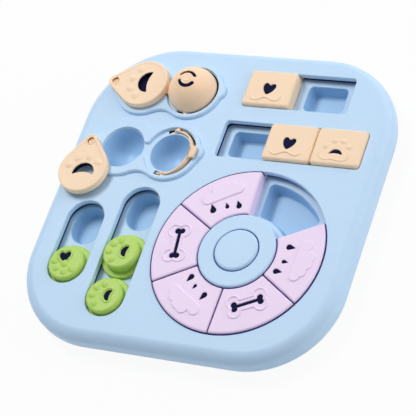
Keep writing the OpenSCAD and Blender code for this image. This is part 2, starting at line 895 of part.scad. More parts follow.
module slider_disc(x, y) {
    height = top_z + puck_rise - flange_z;
    translate([x, y, flange_z]) {
        difference() {
            rotate_extrude() difference() {
                union() {
                    edge_profile(puck_d / 2, height, puck_round);
                    edge_profile(disc_flange_r, flange_t, flange_t / 4);
                }
                translate([0, -over])
                    edge_profile(puck_d / 2 - slider_wall, height - slider_top + over, 1);
            }
            translate([0, 0, height - slider_top - over]) linear_extrude(slider_top + 2 * over)
                children(0);
        }
        translate([0, 0, height]) children(1);
    }
}

module disc_1() {
    color(green) slider_disc(left_x, left_low + disc_end) {
        translate([0, 5.5]) heart(heart_w * 0.9);
        translate([0, 3.5, 0]) toes(9.5, 205, 130);
    }
}

module right_disc(k) {
    color(green) slider_disc(right_x, right_low + disc_end + k * disc_step) {
        translate([5.5, 0]) crescent(crescent_r * 0.62);
        translate([3.5, 0, 0]) toes(9.5, 115, 130);
    }
}

module disc_2() {
    right_disc(1);
}

module disc_3() {
    right_disc(0);
}

module ring_segment(k) {
    low = flange_z;
    height = top_z + segment_rise - low;
    from = first_angle + k * segment_pitch + segment_gap / 2;
    sweep = segment_pitch - segment_gap;
    inner = hub_r + side_gap;
    outer = wheel_r - side_gap;
    color(lilac) translate([wheel_x, wheel_y, low]) difference() {
        rotate(from) rotate_extrude(angle = sweep) {
            difference() {
                edge_profile(outer, height, segment_round);
                translate([-over, -over]) square([inner + segment_round + over, height + 2 * over]);
            }
            translate([2 * inner + 2 * segment_round, 0]) mirror([1, 0]) difference() {
                edge_profile(inner + 2 * segment_round, height, segment_round);
                translate([-over, -over])
                    square([inner + segment_round + over, height + 2 * over]);
            }
            translate([post_r + side_gap, 0])
                square([outer + flange_reach - post_r - side_gap, flange_t]);
        }
        translate([0, 0, -over]) linear_extrude(height - slider_top + over)
            ring_sector(inner + 2 * slider_wall, outer - slider_wall, from, sweep, slider_wall);
        translate([0, 0, height - slider_top - over]) linear_extrude(slider_top + 2 * over)
            rotate(from + sweep / 2) segment_cut(k);
    }
}

// Sliders alternate between three drops and one bone
module segment_cut(k) {
    if (k % 2 == 1)
        translate([motif_r + 7.5, 0]) rotate(90) bone(bone_l, bone_w, bone_knob_r);
    else
        for (place = [[-14.5, drop_r], [0, small_drop_r], [14.5, drop_r]])
            rotate(place[0]) translate([motif_r - place[1], 0])
                rotate(k == 0 ? -30 : (k == 4 ? 0 : 180)) drop_shape(place[1]);
}

module ring_segment_1() {
    ring_segment(0);
}

module ring_segment_2() {
    ring_segment(1);
}

module ring_segment_3() {
    ring_segment(2);
}

module ring_segment_4() {
    ring_segment(3);
}

module ring_segment_5() {
    ring_segment(4);
}

// ---------- hub ----------

module hub_ring() {
    low = lip_z;
    height = hub_z - low;
    face = height - hub_face_t;
    color(blue) translate([wheel_x, wheel_y, low]) difference() {
        rotate_extrude() difference() {
            edge_profile(hub_r, height, hub_round);
            square([button_r + button_gap, height + over]);
            translate([0, -over]) square([post_inner_r + 0.4, face + over]);
            translate([post_r, -over]) square([hub_r - post_r - hub_skirt, face + over]);
        }
        for (k = [0:hub_screws_n - 1]) rotate(360 / hub_screws_n * k)
            translate([hub_screw_r, 0, -over]) cylinder(h = face, d = screw_d + 0.1);
    }
}

module screws() {
    case_screws();
    hub_screws();
}

module hub_screws() {
    head_z = ledge_z - ledge_t;
    color(steel) translate([wheel_x, wheel_y, 0]) for (k = [0:hub_screws_n - 1])
        rotate(360 / hub_screws_n * k) translate([hub_screw_r, 0, 0]) {
            translate([0, 0, head_z - screw_head_h]) cylinder(h = screw_head_h, d = screw_d + 1.6);
            translate([0, 0, head_z]) cylinder(h = lip_z - head_z + 2, d = screw_d);
        }
}

module centre_button() {
    flange_top = hub_z - hub_face_t - ride_gap;
    low = flange_top - button_flange_t;
    height = button_z - low;
    color(blue) translate([wheel_x, wheel_y, low]) rotate_extrude() difference() {
        union() {
            edge_profile(button_r, height, button_round);
            square([button_r + button_flange, button_flange_t]);
        }
        translate([0, -over])
            edge_profile(button_r - slider_wall, height - slider_top + over, 1);
    }
}

module squeaker_bellows() {
    low = well_z;
    height = button_z - slider_top - low;
    fold_h = height / (2 * bellows_folds);
    function side(r) = [for (k = [0:2 * bellows_folds])
        [r - (k % 2 == 0 ? bellows_fold : 0), k * fold_h]];
    outer = side(bellows_r);
    inner = side(bellows_r - bellows_wall);
    color(rubber) translate([wheel_x, wheel_y, low]) rotate_extrude()
        polygon(concat(outer, [for (k = [2 * bellows_folds:-1:0]) inner[k]]));
}

// ---------- bowl rows ----------

module bowl_row(y) {
    boss_low = pad_z;
    color(blue) translate([dome_x, y, 0]) difference() {
        union() {
            translate([0, 0, top_z]) linear_extrude(row_rise) row_outline(0);
            translate([0, 0, plug_z]) linear_extrude(plug_d) row_outline(plug_step);
            translate([-bowl_pitch, 0, 0]) intersection() {
                translate([0, 0, recess_z]) sphere(fixed_bowl_r + bowl_wall);
                cylinder(h = top_z, r = fixed_bowl_r + 2 * bowl_wall);
            }
            intersection() {
                translate([0, 0, dome_z]) sphere(slot_in_r);
                cylinder(h = recess_z, r = slot_in_r);
            }
            for (side = [-1, 1]) translate([-row_screw_x, side * row_screw_y, boss_low])
                cylinder(h = top_z - boss_low, d = row_boss_d);
        }
        // recess round the dome bowl, open towards the fixed bowl
        translate([0, 0, recess_z]) linear_extrude(recess_d + over)
            waist_outline(recess_r, fixed_bowl_r, bowl_pitch, recess_flare_r);
        // the two bowls
        translate([-bowl_pitch, 0, recess_z]) sphere(fixed_bowl_r);
        translate([0, 0, dome_z]) sphere(dome_bowl_r);
        // slot that the dome lid rolls through
        translate([0, 0, plug_z - over]) rotate(-90 - slot_past)
            rotate_extrude(angle = 180 + 2 * slot_past)
                translate([slot_in_r, 0]) square([slot_out_r - slot_in_r, case_h]);
        // pivot bores of the dome lid
        for (side = [-1, 1]) translate([0, side * slot_out_r, dome_z])
            rotate([-90 * side, 0, 0]) translate([0, 0, -over / 2])
                cylinder(h = plug_r - slot_out_r + over / 2 - 0.1, d = dome_pin_d + 2 * pin_gap);
        // swivel pin
        translate([-bowl_pitch - pin_pitch, 0, plug_z - over])
            cylinder(h = row_rise + plug_d + 2 * over, d = lid_pin_d + 2 * pin_gap);
        for (side = [-1, 1]) translate([-row_screw_x, side * row_screw_y, boss_low - over])
            cylinder(h = screw_bite + 2 * over, d = screw_d + 0.1);
    }
}

module bowl_row_1() {
    bowl_row(row_1_y);
}

module bowl_row_2() {
    bowl_row(row_2_y);
}

// Spherical shell swept about the pins' line, from the leading edge to the trailing edge
module dome_shell() {
    rotate([90, 0, 0]) rotate(dome_cut) rotate_extrude(angle = 180 - dome_cut) difference() {
        circle(dome_r);
        circle(dome_r - dome_t);
        translate([-2 * dome_r, -2 * dome_r]) square([2 * dome_r, 4 * dome_r]);
    }
}

module dome_lid(y, turn) {
    pin_end = plug_r - 0.4;
    color(peach) translate([dome_x, y, dome_z]) rotate([0, turn, 0]) {
        difference() {
            dome_shell();
            translate([0, 0, dome_r / 2]) linear_extrude(dome_r) {
                ring_sector(dome_slot_r - dome_slot_w / 2, dome_slot_r + dome_slot_w / 2,
                            35, 110, 0);
                ring_sector(dome_slot_r - dome_slot_w / 2, dome_slot_r + dome_slot_w / 2,
                            205, 130, 0);
            }
        }
        // finger tab
        linear_extrude(tab_t) polygon([[0.4 - dome_r, -tab_w / 2],
            [-dome_r - tab_reach, -tab_w / 6], [-dome_r - tab_reach, tab_w / 6],
            [0.4 - dome_r, tab_w / 2]]);
        for (side = [-1, 1]) rotate([-90 * side, 0, 0]) {
            translate([0, 0, slot_in_r + 0.25])
                cylinder(h = slot_out_r - slot_in_r - 0.5, d = ear_d);
            translate([0, 0, slot_in_r + 1]) cylinder(h = pin_end - slot_in_r - 1, d = dome_pin_d);
        }
    }
}

module dome_lid_1() {
    dome_lid(row_1_y, 0);
}

module dome_lid_2() {
    dome_lid(row_2_y, dome_open);
}

// Drop-shaped plate with a rounded upper edge; its origin is the tip's centre
module soft_drop(r, tip_r, pitch, h, top) {
    hull() {
        rotate_extrude() edge_profile(tip_r, h, top);
        translate([pitch, 0, 0]) rotate_extrude() edge_profile(r, h, top);
    }
}

module swivel_lid(y, turn) {
    head_seat = lid_t - lid_head_sink - lid_head_h - 0.1;
    color(peach) translate([dome_x - bowl_pitch - pin_pitch, y, lid_z]) rotate(turn) {
        difference() {
            soft_drop(lid_r, lid_tip_r, pin_pitch, lid_t, lid_round);
            translate([0, 0, -over]) cylinder(h = lid_t + 2 * over, d = lid_pin_d + 2 * pin_gap);
            translate([0, 0, head_seat]) cylinder(h = lid_t, d = lid_head_d + 1);
            translate([pin_pitch + 4, 2, -over]) linear_extrude(lid_t + 2 * over)
                crescent(crescent_r);
        }
        translate([pin_pitch + 1, 1, lid_t]) toes(14.2, 122, 116);
    }
}

module swivel_lid_1() {
    swivel_lid(row_1_y, 0);
}

module swivel_lid_2() {
    swivel_lid(row_2_y, -lid_2_open);
}

module lid_pin(y) {
    head_z = lid_z + lid_t - lid_head_sink - lid_head_h;
    low = plug_z - lid_pin_tail;
    color(peach) translate([dome_x - bowl_pitch - pin_pitch, y, 0]) {
        translate([0, 0, head_z]) cylinder(h = lid_head_h, d = lid_head_d);
        translate([0, 0, low]) cylinder(h = head_z - low, d = lid_pin_d);
        translate([0, 0, low + lid_pin_tail / 3])
            cylinder(h = lid_pin_tail * 2 / 3 - ride_gap, d = lid_clip_d);
    }
}

module lid_pins() {
    for (y = row_ys) lid_pin(y);
}

cover_over_rows();
cover_over_blocks();
cover_over_discs();
cover_over_ring();
cover_wall_left();
cover_wall_right();
cover_posts();
base_pan();
pan_wall();
pan_pads();
collar(0);  // upper_block_collar
collar(1);  // lower_block_collar
collar(2);  // left_disc_collar
collar(3);  // right_disc_collar
collar(4);  // ring_collar
upper_block_ledge();
lower_block_ledge();
left_disc_ledge();
right_disc_ledge();
ring_ledge();
hub_post();
upper_cup(0);  // square_cup_1
upper_cup(1);  // square_cup_2
lower_cup(0);  // square_cup_3
lower_cup(1);  // square_cup_4
lower_cup(2);  // square_cup_5
round_cup(left_x, left_top, 0);  // round_cup_1
round_cup(left_x, left_top, 1);  // round_cup_2
round_cup(right_x, right_top, 0);  // round_cup_3
round_cup(right_x, right_top, 1);  // round_cup_4
round_cup(right_x, right_top, 2);  // round_cup_5
sector_cup(0);  // sector_cup_1
sector_cup(1);  // sector_cup_2
sector_cup(2);  // sector_cup_3
sector_cup(3);  // sector_cup_4
sector_cup(4);  // sector_cup_5
sector_cup(5);  // sector_cup_6
bowl_row_1();
bowl_row_2();
swivel_lid_1();
swivel_lid_2();
lid_pins();
dome_lid_1();
dome_lid_2();
block_1();
block_2();
block_3();
disc_1();
disc_2();
disc_3();
ring_segment_1();
ring_segment_2();
ring_segment_3();
ring_segment_4();
ring_segment_5();
hub_ring();
centre_button();
squeaker_bellows();
screws();
rubber_feet();
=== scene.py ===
"""Looks of the dog puzzle feeder board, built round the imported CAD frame. Shapes are in mm."""

import math

import bmesh
import bpy
from mathutils import Matrix, Vector
from mathutils.geometry import delaunay_2d_cdt


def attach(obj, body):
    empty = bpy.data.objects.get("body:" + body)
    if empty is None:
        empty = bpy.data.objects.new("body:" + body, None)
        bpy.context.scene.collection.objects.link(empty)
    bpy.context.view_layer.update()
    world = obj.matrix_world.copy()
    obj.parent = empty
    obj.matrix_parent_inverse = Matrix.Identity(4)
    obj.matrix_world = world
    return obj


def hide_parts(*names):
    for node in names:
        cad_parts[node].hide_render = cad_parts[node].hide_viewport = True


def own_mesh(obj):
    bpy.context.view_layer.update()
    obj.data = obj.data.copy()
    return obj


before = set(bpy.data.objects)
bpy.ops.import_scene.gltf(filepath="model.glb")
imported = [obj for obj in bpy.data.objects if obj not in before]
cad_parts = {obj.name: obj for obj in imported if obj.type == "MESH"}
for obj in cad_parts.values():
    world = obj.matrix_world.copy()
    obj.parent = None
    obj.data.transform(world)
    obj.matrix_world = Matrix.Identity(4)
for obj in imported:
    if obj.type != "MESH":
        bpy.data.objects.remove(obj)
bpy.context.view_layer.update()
MM = 0.001

# ---------------------------------------------------------------- sizes, the CAD's unless noted
BOARD_W, CORNER_R, TOP_ROUND = 260, 68, 9
TOP = 23.0  # face of the cover
PART = 9.5  # joint between cover and pan
LIP_LOW = 18.4  # underside of the lips over the tracks
LEDGE = 15.2  # ledges that the flanges slide on, 0.2 below the CAD's
WELL = 4.6  # floor of the wells
FLANGE = 15.3  # underside of the sliders and their flanges, 0.2 below the CAD's
FLANGE_T = 2.8
REACH = 2.8  # how far a track goes on under its lip
GAP = 0.3  # side clearance of the sliders
RIM = 25.8  # top of a bowl row
RECESS = 23.2  # sunk face of a bowl row
DOME_X, ROW_Y = -41.2, (88.4, 32.6)
PITCH, PIN_PITCH = 41.7, 25.6  # from the dome's bowl to the fixed bowl, and on to the pin
PIN_X = DOME_X - PITCH - PIN_PITCH
DOME_Z = 23.6
DOME_OPEN, SWIVEL_OPEN = 165, 85
LID_Z, LID_T, LID_R = 26.1, 5.4, 20.6
PIN_LOBE_R = 6.3
ROW_R, NECK_R = 25.0, 17.0
WHEEL, WHEEL_R = (42.3, -43.5), 68
FIRST_ANGLE, SEGMENT_PITCH = 91.2, 59.3
HUB_Z, HUB_R, HUB_ROUND = 25.3, 30.2, 1.6
BUTTON_R = 16.8  # 0.3 less than the CAD's
BUTTON_Z, BUTTON_ROUND, BUTTON_TRAVEL = 26.6, 2.0, 3
SLOTS = ("upper_block", "lower_block", "left_disc", "right_disc", "ring")
BLOCK_SLOTS = {"upper": (2.9, 86.6, 96.1), "lower": (-4.7, 118.8, 50.3)}  # left end, length, middle line
DISC_SLOTS = {"left": (-92.3, -16.0, 71.4), "right": (-50.1, 0.9, 110.8)}  # middle line, top end, length
BLOCK_SLOT_W, DISC_SLOT_W = 31.7, 32.0
BLOCK_LEN, BLOCK_W = 39.2, BLOCK_SLOT_W - 2 * GAP
BLOCK_STEP = BLOCK_LEN + GAP
DISC_STEP = DISC_SLOT_W + 2 * (REACH - GAP) + GAP
SLIDER_RISE, SEGMENT_RISE = 3, 1.5

# sizes of the looks only
CUT_DEPTH = 2.2  # of the motifs cut into the sliders
SHADE_SHEET_DEPTH = 3.0  # underside of the dark sheets of painted shade under the motifs
SINK = 0.15  # how far raised marks reach into the face under them


def rad(a):
    return math.radians(a)


def polar(r, a, cx=0.0, cy=0.0):
    return (cx + r * math.cos(rad(a)), cy + r * math.sin(rad(a)))


# ---------------------------------------------------------------- outlines: counter-clockwise loops
def arc(cx, cy, r, a0, a1, step=4.0):
    n = max(2, int(math.ceil(abs(a1 - a0) / step)))
    return [polar(r, a0 + (a1 - a0) * i / n, cx, cy) for i in range(n + 1)]


def clean(loop, eps=0.004):
    """Loop without points that lie on top of each other."""
    out = []
    for p in loop:
        if not out or math.dist(p, out[-1]) > eps:
            out.append(p)
    while len(out) > 2 and math.dist(out[0], out[-1]) < eps:
        out.pop()
    return out


def circle(r, cx=0.0, cy=0.0, n=72):
    return [polar(r, 360 * i / n, cx, cy) for i in range(n)]


def rect(w, h, r, cx=0.0, cy=0.0, step=7.5):
    out = []
    for i, (sx, sy) in enumerate(((1, 1), (-1, 1), (-1, -1), (1, -1))):
        out += arc(cx + sx * (w / 2 - r), cy + sy * (h / 2 - r), r, 90 * i, 90 * i + 90, step)
    return clean(out)


def stadium(w, h, cx=0.0, cy=0.0):
    r, step = w / 2, 5.0
    return clean(arc(cx, cy + h / 2 - r, r, 0, 180, step) + arc(cx, cy - h / 2 + r, r, 180, 360, step))


def teardrop(r, tip, length):
    """Round tip at the origin, round end of radius r at (length, 0)."""
    a = math.degrees(math.acos((r - tip) / length))
    return clean(arc(length, 0, r, -(180 - a), 180 - a, 3) + arc(0, 0, tip, 180 - a, 180 + a, 6))


def sector(r0, r1, mid, half, land, r):
    """Ring sector with its flanks a distance land inside the radii and its corners rounded."""
    h = rad(half)
    u, n = (math.cos(h), math.sin(h)), (math.sin(h), -math.cos(h))
    q = land + r

    def centre(rho):
        s = math.sqrt(rho * rho - q * q)
        return (q * n[0] + s * u[0], q * n[1] + s * u[1])

    co, ci = centre(r1 - r), centre(r0 + r)
    ao, ai = math.degrees(math.atan2(co[1], co[0])), math.degrees(math.atan2(ci[1], ci[0]))
    up = arc(0, 0, r1, 0, ao, 2.0) + arc(co[0], co[1], r, ao, half + 90, 10)
    up += arc(ci[0], ci[1], r, half + 90, ai + 180, 10) + arc(0, 0, r0, ai, 0, 3.0)
    loop = clean(up + [(x, -y) for x, y in reversed(up)])
    return turned(loop, mid)


def turned(loop, a, cx=0.0, cy=0.0):
    c, s = math.cos(rad(a)), math.sin(rad(a))
    return [(cx + c * x - s * y, cy + s * x + c * y) for x, y in loop]


def moved(loop, dx, dy):
    return [(x + dx, y + dy) for x, y in loop]


def row_outline():
    """Rim of a bowl row round the dome bowl's centre, with a blunt bump beside the dome."""
    x = PITCH / 2
    y = math.sqrt((ROW_R + NECK_R) ** 2 - x * x)
    phi = math.degrees(math.atan2(y, x))
    g = math.degrees(math.acos((ROW_R - PIN_LOBE_R) / PIN_PITCH))
    tip, at, root, lean = 8.0, 19.9, 6.0, 5.5
    reach = ROW_R + root
    turn = math.degrees(math.acos((reach ** 2 + at * at - (tip + root) ** 2) / (2 * at * reach)))
    fx, fy = polar(reach, turn)
    lift = math.degrees(math.atan2(fy, fx - at))
    half = arc(at, 0, tip, 0, lift, 6) + arc(fx, fy, root, lift - 180, turn - 180, 8)
    bump = turned([(a, -b) for a, b in reversed(half)] + half, lean)
    side = arc(-x, y, NECK_R, -phi, -(180 - phi), 3) + arc(-PITCH, 0, ROW_R, phi, 180 - g, 3)
    side += arc(-PITCH - PIN_PITCH, 0, PIN_LOBE_R, 180 - g, 180, 8)
    up = arc(0, 0, ROW_R, turn + lean, 180 - phi, 3) + side
    down = arc(0, 0, ROW_R, turn - lean, 180 - phi, 3) + side
    return clean(bump + up + [(a, -b) for a, b in reversed(down)])


def recess_outline():
    """Sunk face of a bowl row: two circles joined by flared necks."""
    dome_r, bowl_r, flare = 21.4, 17.9, 3.0
    a, b = dome_r + flare, bowl_r + flare
    x = (a * a - b * b + PITCH * PITCH) / (2 * PITCH)
    y = math.sqrt(a * a - x * x)
    p1 = math.degrees(math.atan2(y, -x))
    p2 = math.degrees(math.atan2(y, PITCH - x))
    up = arc(0, 0, dome_r, 0, p1, 3) + arc(-x, y, flare, p1 - 180, p2 - 180, 8)
    up += arc(-PITCH, 0, bowl_r, p2, 180, 3)
    return clean(up + [(a, -b) for a, b in reversed(up)])


def heart(w, h, cx=0.0, cy=0.0, turn=0.0):
    """Blunt heart with a shallow notch."""
    half = [(0, 0.34), (-0.2, 0.48), (-0.42, 0.46), (-0.51, 0.2), (-0.38, -0.16), (-0.1, -0.48)]
    pts = half + [(-x, y) for x, y in reversed(half[1:])]
    return turned(clean(curve([(x * w, y * h) for x, y in pts], True, 5), 0.1), turn, cx, cy)


def blunted(loop, passes):
    """Loop with even points and softened corners."""
    step = 0.4
    size = [math.dist(p, loop[i - 1]) for i, p in enumerate(loop)]
    n = int(sum(size) / step)
    out, i, base = [], 0, 0.0
    for j in range(n):
        at = sum(size) * j / n
        while base + size[i] < at:
            base += size[i]
            i += 1
        t = (at - base) / (size[i] or 1)
        a, b = loop[i - 1], loop[i]
        out.append((a[0] + (b[0] - a[0]) * t, a[1] + (b[1] - a[1]) * t))
    for _ in range(passes):
        out = [tuple((out[i - 1][m] + 2 * p[m] + out[(i + 1) % n][m]) / 4 for m in (0, 1))
               for i, p in enumerate(out)]
    return out


def moon(w, s_out, s_in, cx, cy, turn, passes):
    """Crescent with its tips near (+-w/2, 0) and its round side towards +Y."""

    def bow(s, flip):
        rr = (w * w / 4 + s * s) / (2 * s)
        a = math.degrees(math.asin(min(1.0, (w / 2) / rr)))
        if s > w / 2:
            a = 180 - a
        pts = arc(0, s - rr, rr, 90 - a, 90 + a, 5)
        return list(reversed(pts)) if flip else pts

    return turned(blunted(clean(bow(s_out, False) + bow(s_in, True)[1:-1], 0.05), passes), turn, cx, cy)


def bone(length, w, k, cx=0.0, cy=0.0, turn=0.0):
    """Dog bone along X, with knobs of radius k."""
    a, e = length / 2 - k, k * 0.82
    s = math.degrees(math.asin(max(-1, min(1, (e - w / 2) / k))))
    right = arc(a, -e, k, 180 - s, 360 + 42, 12) + arc(a, e, k, -42, 180 + s * 0.999, 12)
    loop = right + [(-x, -y) for x, y in right]
    return turned(clean(loop, 0.05), turn, cx, cy)


def drop(r, length, cx=0.0, cy=0.0, turn=0.0):
    """Drop with its point towards +X."""
    a = math.degrees(math.acos(r / length))
    pts = arc(0, 0, r, a, 360 - a, 12) + [(length * 0.94, -0.12 * r), (length * 0.94, 0.12 * r)]
    return turned(clean(pts, 0.02), turn, cx, cy)


def curve(points, closed=False, per=8):
    """Smooth line through the points."""
    n = len(points)
    out = []
    spans = n if closed else n - 1
    for i in range(spans):
        p = [points[(i + k - 1) % n] if closed else points[max(0, min(n - 1, i + k - 1))] for k in range(4)]
        for j in range(per):
            t = j / per
            c = [(2 * p[1][m] + (p[2][m] - p[0][m]) * t
                  + (2 * p[0][m] - 5 * p[1][m] + 4 * p[2][m] - p[3][m]) * t * t
                  + (3 * p[1][m] - p[0][m] - 3 * p[2][m] + p[3][m]) * t ** 3) / 2 for m in (0, 1)]
            out.append(tuple(c))
    if not closed:
        out.append(points[-1])
    return out


def arc3(p, q, r):
    """Points on the circle through three points, from p by q to r."""
    n = 12
    ax, ay, bx, by, cx, cy = *p, *q, *r
    d = 2 * (ax * (by - cy) + bx * (cy - ay) + cx * (ay - by))
    a2, b2, c2 = ax * ax + ay * ay, bx * bx + by * by, cx * cx + cy * cy
    ux = (a2 * (by - cy) + b2 * (cy - ay) + c2 * (ay - by)) / d
    uy = (a2 * (cx - bx) + b2 * (ax - cx) + c2 * (bx - ax)) / d
    rr = math.hypot(ax - ux, ay - uy)
    a = [math.degrees(math.atan2(y - uy, x - ux)) for x, y in (p, q, r)]
    sweep, part = (a[2] - a[0]) % 360, (a[1] - a[0]) % 360
    if part > sweep:
        sweep -= 360
    return [polar(rr, a[0] + sweep * i / n, ux, uy) for i in range(n + 1)]


def normals(loop, closed=True):
    """Vectors to the left of the way along, longer at corners so that an offset stays even."""
    out = []
    n = len(loop)
    for i, p in enumerate(loop):
        a = loop[i - 1] if closed or i else p
        b = loop[(i + 1) % n] if closed or i < n - 1 else p
        e0 = (p[0] - a[0], p[1] - a[1]) if a != p else (b[0] - p[0], b[1] - p[1])
        e1 = (b[0] - p[0], b[1] - p[1]) if b != p else e0
        l0, l1 = math.hypot(*e0) or 1, math.hypot(*e1) or 1
        n0, n1 = (-e0[1] / l0, e0[0] / l0), (-e1[1] / l1, e1[0] / l1)
        k = max(0.35, 1 + n0[0] * n1[0] + n0[1] * n1[1])
        out.append(((n0[0] + n1[0]) / k, (n0[1] + n1[1]) / k))
    return out


def offset(loop, d):
    """Moves a counter-clockwise loop inwards by d."""
    return [(p[0] + m[0] * d, p[1] + m[1] * d) for p, m in zip(loop, normals(loop))]


def band(path, w):
    """Closed outline round an open path, of width w and with round ends."""
    nn = normals(path, False)
    left = [(p[0] + m[0] * w / 2, p[1] + m[1] * w / 2) for p, m in zip(path, nn)]
    right = [(p[0] - m[0] * w / 2, p[1] - m[1] * w / 2) for p, m in zip(path, nn)]
    a1 = math.degrees(math.atan2(-nn[-1][1], -nn[-1][0]))
    a0 = math.degrees(math.atan2(nn[0][1], nn[0][0]))
    end = arc(path[-1][0], path[-1][1], w / 2, a1, a1 + 180, 30)
    start = arc(path[0][0], path[0][1], w / 2, a0, a0 + 180, 30)
    return clean(right + end + list(reversed(left)) + start, 0.03)


def round_end(p, before, normal, w):
    """Stations that taper a ridge of width w to a round end past p, outermost first."""
    d = (p[0] - before[0], p[1] - before[1])
    out = []
    for s in (0.98, 0.8, 0.5):
        k = w / 2 * s / (math.hypot(*d) or 1)
        out.append(((p[0] + d[0] * k, p[1] + d[1] * k), normal, math.sqrt(1 - s * s)))
    return out


def inside(p, loop):
    """Whether point p lies within the loop."""
    hit = False
    j = len(loop) - 1
    for i in range(len(loop)):
        (xi, yi), (xj, yj) = loop[i], loop[j]
        if (yi > p[1]) != (yj > p[1]) and p[0] < (xj - xi) * (p[1] - yi) / (yj - yi) + xi:
            hit = not hit
        j = i
    return hit


# ---------------------------------------------------------------- building meshes
class Part:
    """A mesh in the making, in mm."""

    def __init__(self):
        self.bm = bmesh.new()

    def ring(self, loop, z):
        return [self.bm.verts.new((x, y, z)) for x, y in loop]

    def bridge(self, a, b):
        """Faces between two rings with as many points each."""
        n = len(a)
        for i in range(n):
            j = (i + 1) % n
            try:
                self.bm.faces.new((a[i], a[j], b[j], b[i]))
            except ValueError:
                pass

    def loft(self, loop, profile):
        """profile: (inward offset, z) pairs. Returns every ring."""
        rings = [self.ring(offset(loop, d), z) for d, z in profile]
        for a, b in zip(rings, rings[1:]):
            self.bridge(a, b)
        return rings

    def cap(self, ring):
        """Closes a ring with a fan from its middle."""
        c = sum((v.co for v in ring), Vector()) / len(ring)
        m = self.bm.verts.new(c)
        for i in range(len(ring)):
            self.bm.faces.new((ring[i], ring[(i + 1) % len(ring)], m))

    def fill(self, outer, holes=(), shape=None, extra=()):
        """Faces between an outer ring and hole rings; shape maps flat points to space."""
        rings = [outer, *holes]
        flat = [[(v.co.x, v.co.y) for v in r] for r in rings] if shape is None else shape["loops"]
        verts = [v for r in rings for v in r]
        pts = [Vector(p) for r in flat for p in r] + [Vector(p) for p in extra]
        edges, base = [], 0
        for r in flat:
            edges += [(base + i, base + (i + 1) % len(r)) for i in range(len(r))]
            base += len(r)
        new, _, faces, orig, _, _ = delaunay_2d_cdt(pts, edges, [], 1, 1e-6)
        made = {}
        for k, source in enumerate(orig):
            real = [s for s in source if s < len(verts)]
            if real:
                made[k] = verts[real[0]]
            elif shape is not None:
                made[k] = self.bm.verts.new(shape["map"](new[k].x, new[k].y))
            else:
                made[k] = self.bm.verts.new((new[k].x, new[k].y, outer[0].co.z))
        for f in faces:
            c = (sum(new[k].x for k in f) / len(f), sum(new[k].y for k in f) / len(f))
            if not inside(c, flat[0]) or any(inside(c, h) for h in flat[1:]):
                continue
            vs = [made[k] for k in f]
            if len(set(vs)) == 3:
                try:
                    self.bm.faces.new(vs)
                except ValueError:
                    pass

    def slab(self, outline, z0, z1, rt=0.0, rb=0.0):
        """Plate with rounded upper and lower edges."""
        rings = self.loft(outline, edge(z0, z1, rb, rt))
        self.fill(rings[-1])
        self.fill(rings[0])

    def lathe(self, profile, cx=0.0, cy=0.0, n=96, closed=False):
        """profile: (radius, z) pairs; a radius of 0 closes the surface on its axis."""
        rings = []
        for r, z in profile:
            if r < 1e-6:
                rings.append([self.bm.verts.new((cx, cy, z))])
            else:
                rings.append([self.bm.verts.new((*polar(r, 360 * i / n, cx, cy), z)) for i in range(n)])
        pairs = list(zip(rings, rings[1:])) + ([(rings[-1], rings[0])] if closed else [])
        for a, b in pairs:
            if len(a) == 1 or len(b) == 1:
                tip, ring = (a[0], b) if len(a) == 1 else (b[0], a)
                for i in range(len(ring)):
                    self.bm.faces.new((ring[i], ring[(i + 1) % len(ring)], tip))
            else:
                self.bridge(a, b)

    def bump(self, loop, z, h, r):
        """Low pad with a top rounded over the width r."""
        top = [(r * (1 - math.cos(rad(t))), z + h * math.sin(rad(t))) for t in (25, 50, 72, 90)]
        rings = self.loft(loop, [(0, z - SINK), (0.02, z)] + top)
        self.fill(rings[-1])

    def dome_pad(self, cx, cy, z, rx, ry, h, turn):
        """Low rounded toe."""
        loop = turned([(rx * x, ry * y) for x, y in circle(1, n=20)], turn, cx, cy)
        prev = self.ring(loop, z - 0.1)
        for t in (0.0, 0.06, 0.16, 0.32, 0.52, 0.74, 0.92):
            k = 1 - t
            ring = self.ring([(cx + (x - cx) * k, cy + (y - cy) * k) for x, y in loop],
                             z + h * math.sin(t * math.pi / 2) ** 0.85)
            self.bridge(prev, ring)
            prev = ring
        self.cap(prev)

    def ridge(self, path, w, h, z, closed=False):
        """Raised rounded line along a path."""
        nn = normals(path, closed)
        stations = [(p, m, 1.0) for p, m in zip(path, nn)]
        if not closed:
            end = round_end(path[-1], path[-2], nn[-1], w)
            stations = round_end(path[0], path[1], nn[0], w) + stations + end[::-1]
        rows = []
        for p, m, k in stations:
            x, y = m[0] * w / 2 * k, m[1] * w / 2 * k
            row = [(p[0] + x, p[1] + y, z - SINK)]
            for t in range(0, 181, 30):
                c, s = math.cos(rad(t)), math.sin(rad(t))
                row.append((p[0] + x * c, p[1] + y * c, z + h * k * s))
            row.append((p[0] - x, p[1] - y, z - SINK))
            rows.append([self.bm.verts.new(v) for v in row])
        for a, b in zip(rows, rows[1:]):
            self.bridge(a, b)
        if closed:
            self.bridge(rows[-1], rows[0])
        else:
            self.bm.faces.new(rows[0])
            self.bm.faces.new(rows[-1][::-1])

    def join(self, other):
        """Adds another part's mesh to this one and frees it."""
        mesh = bpy.data.meshes.new("joined")
        other.bm.to_mesh(mesh)
        other.bm.free()
        self.bm.from_mesh(mesh)
        bpy.data.meshes.remove(mesh)

    def place(self, matrix):
        bmesh.ops.transform(self.bm, matrix=matrix, verts=self.bm.verts)

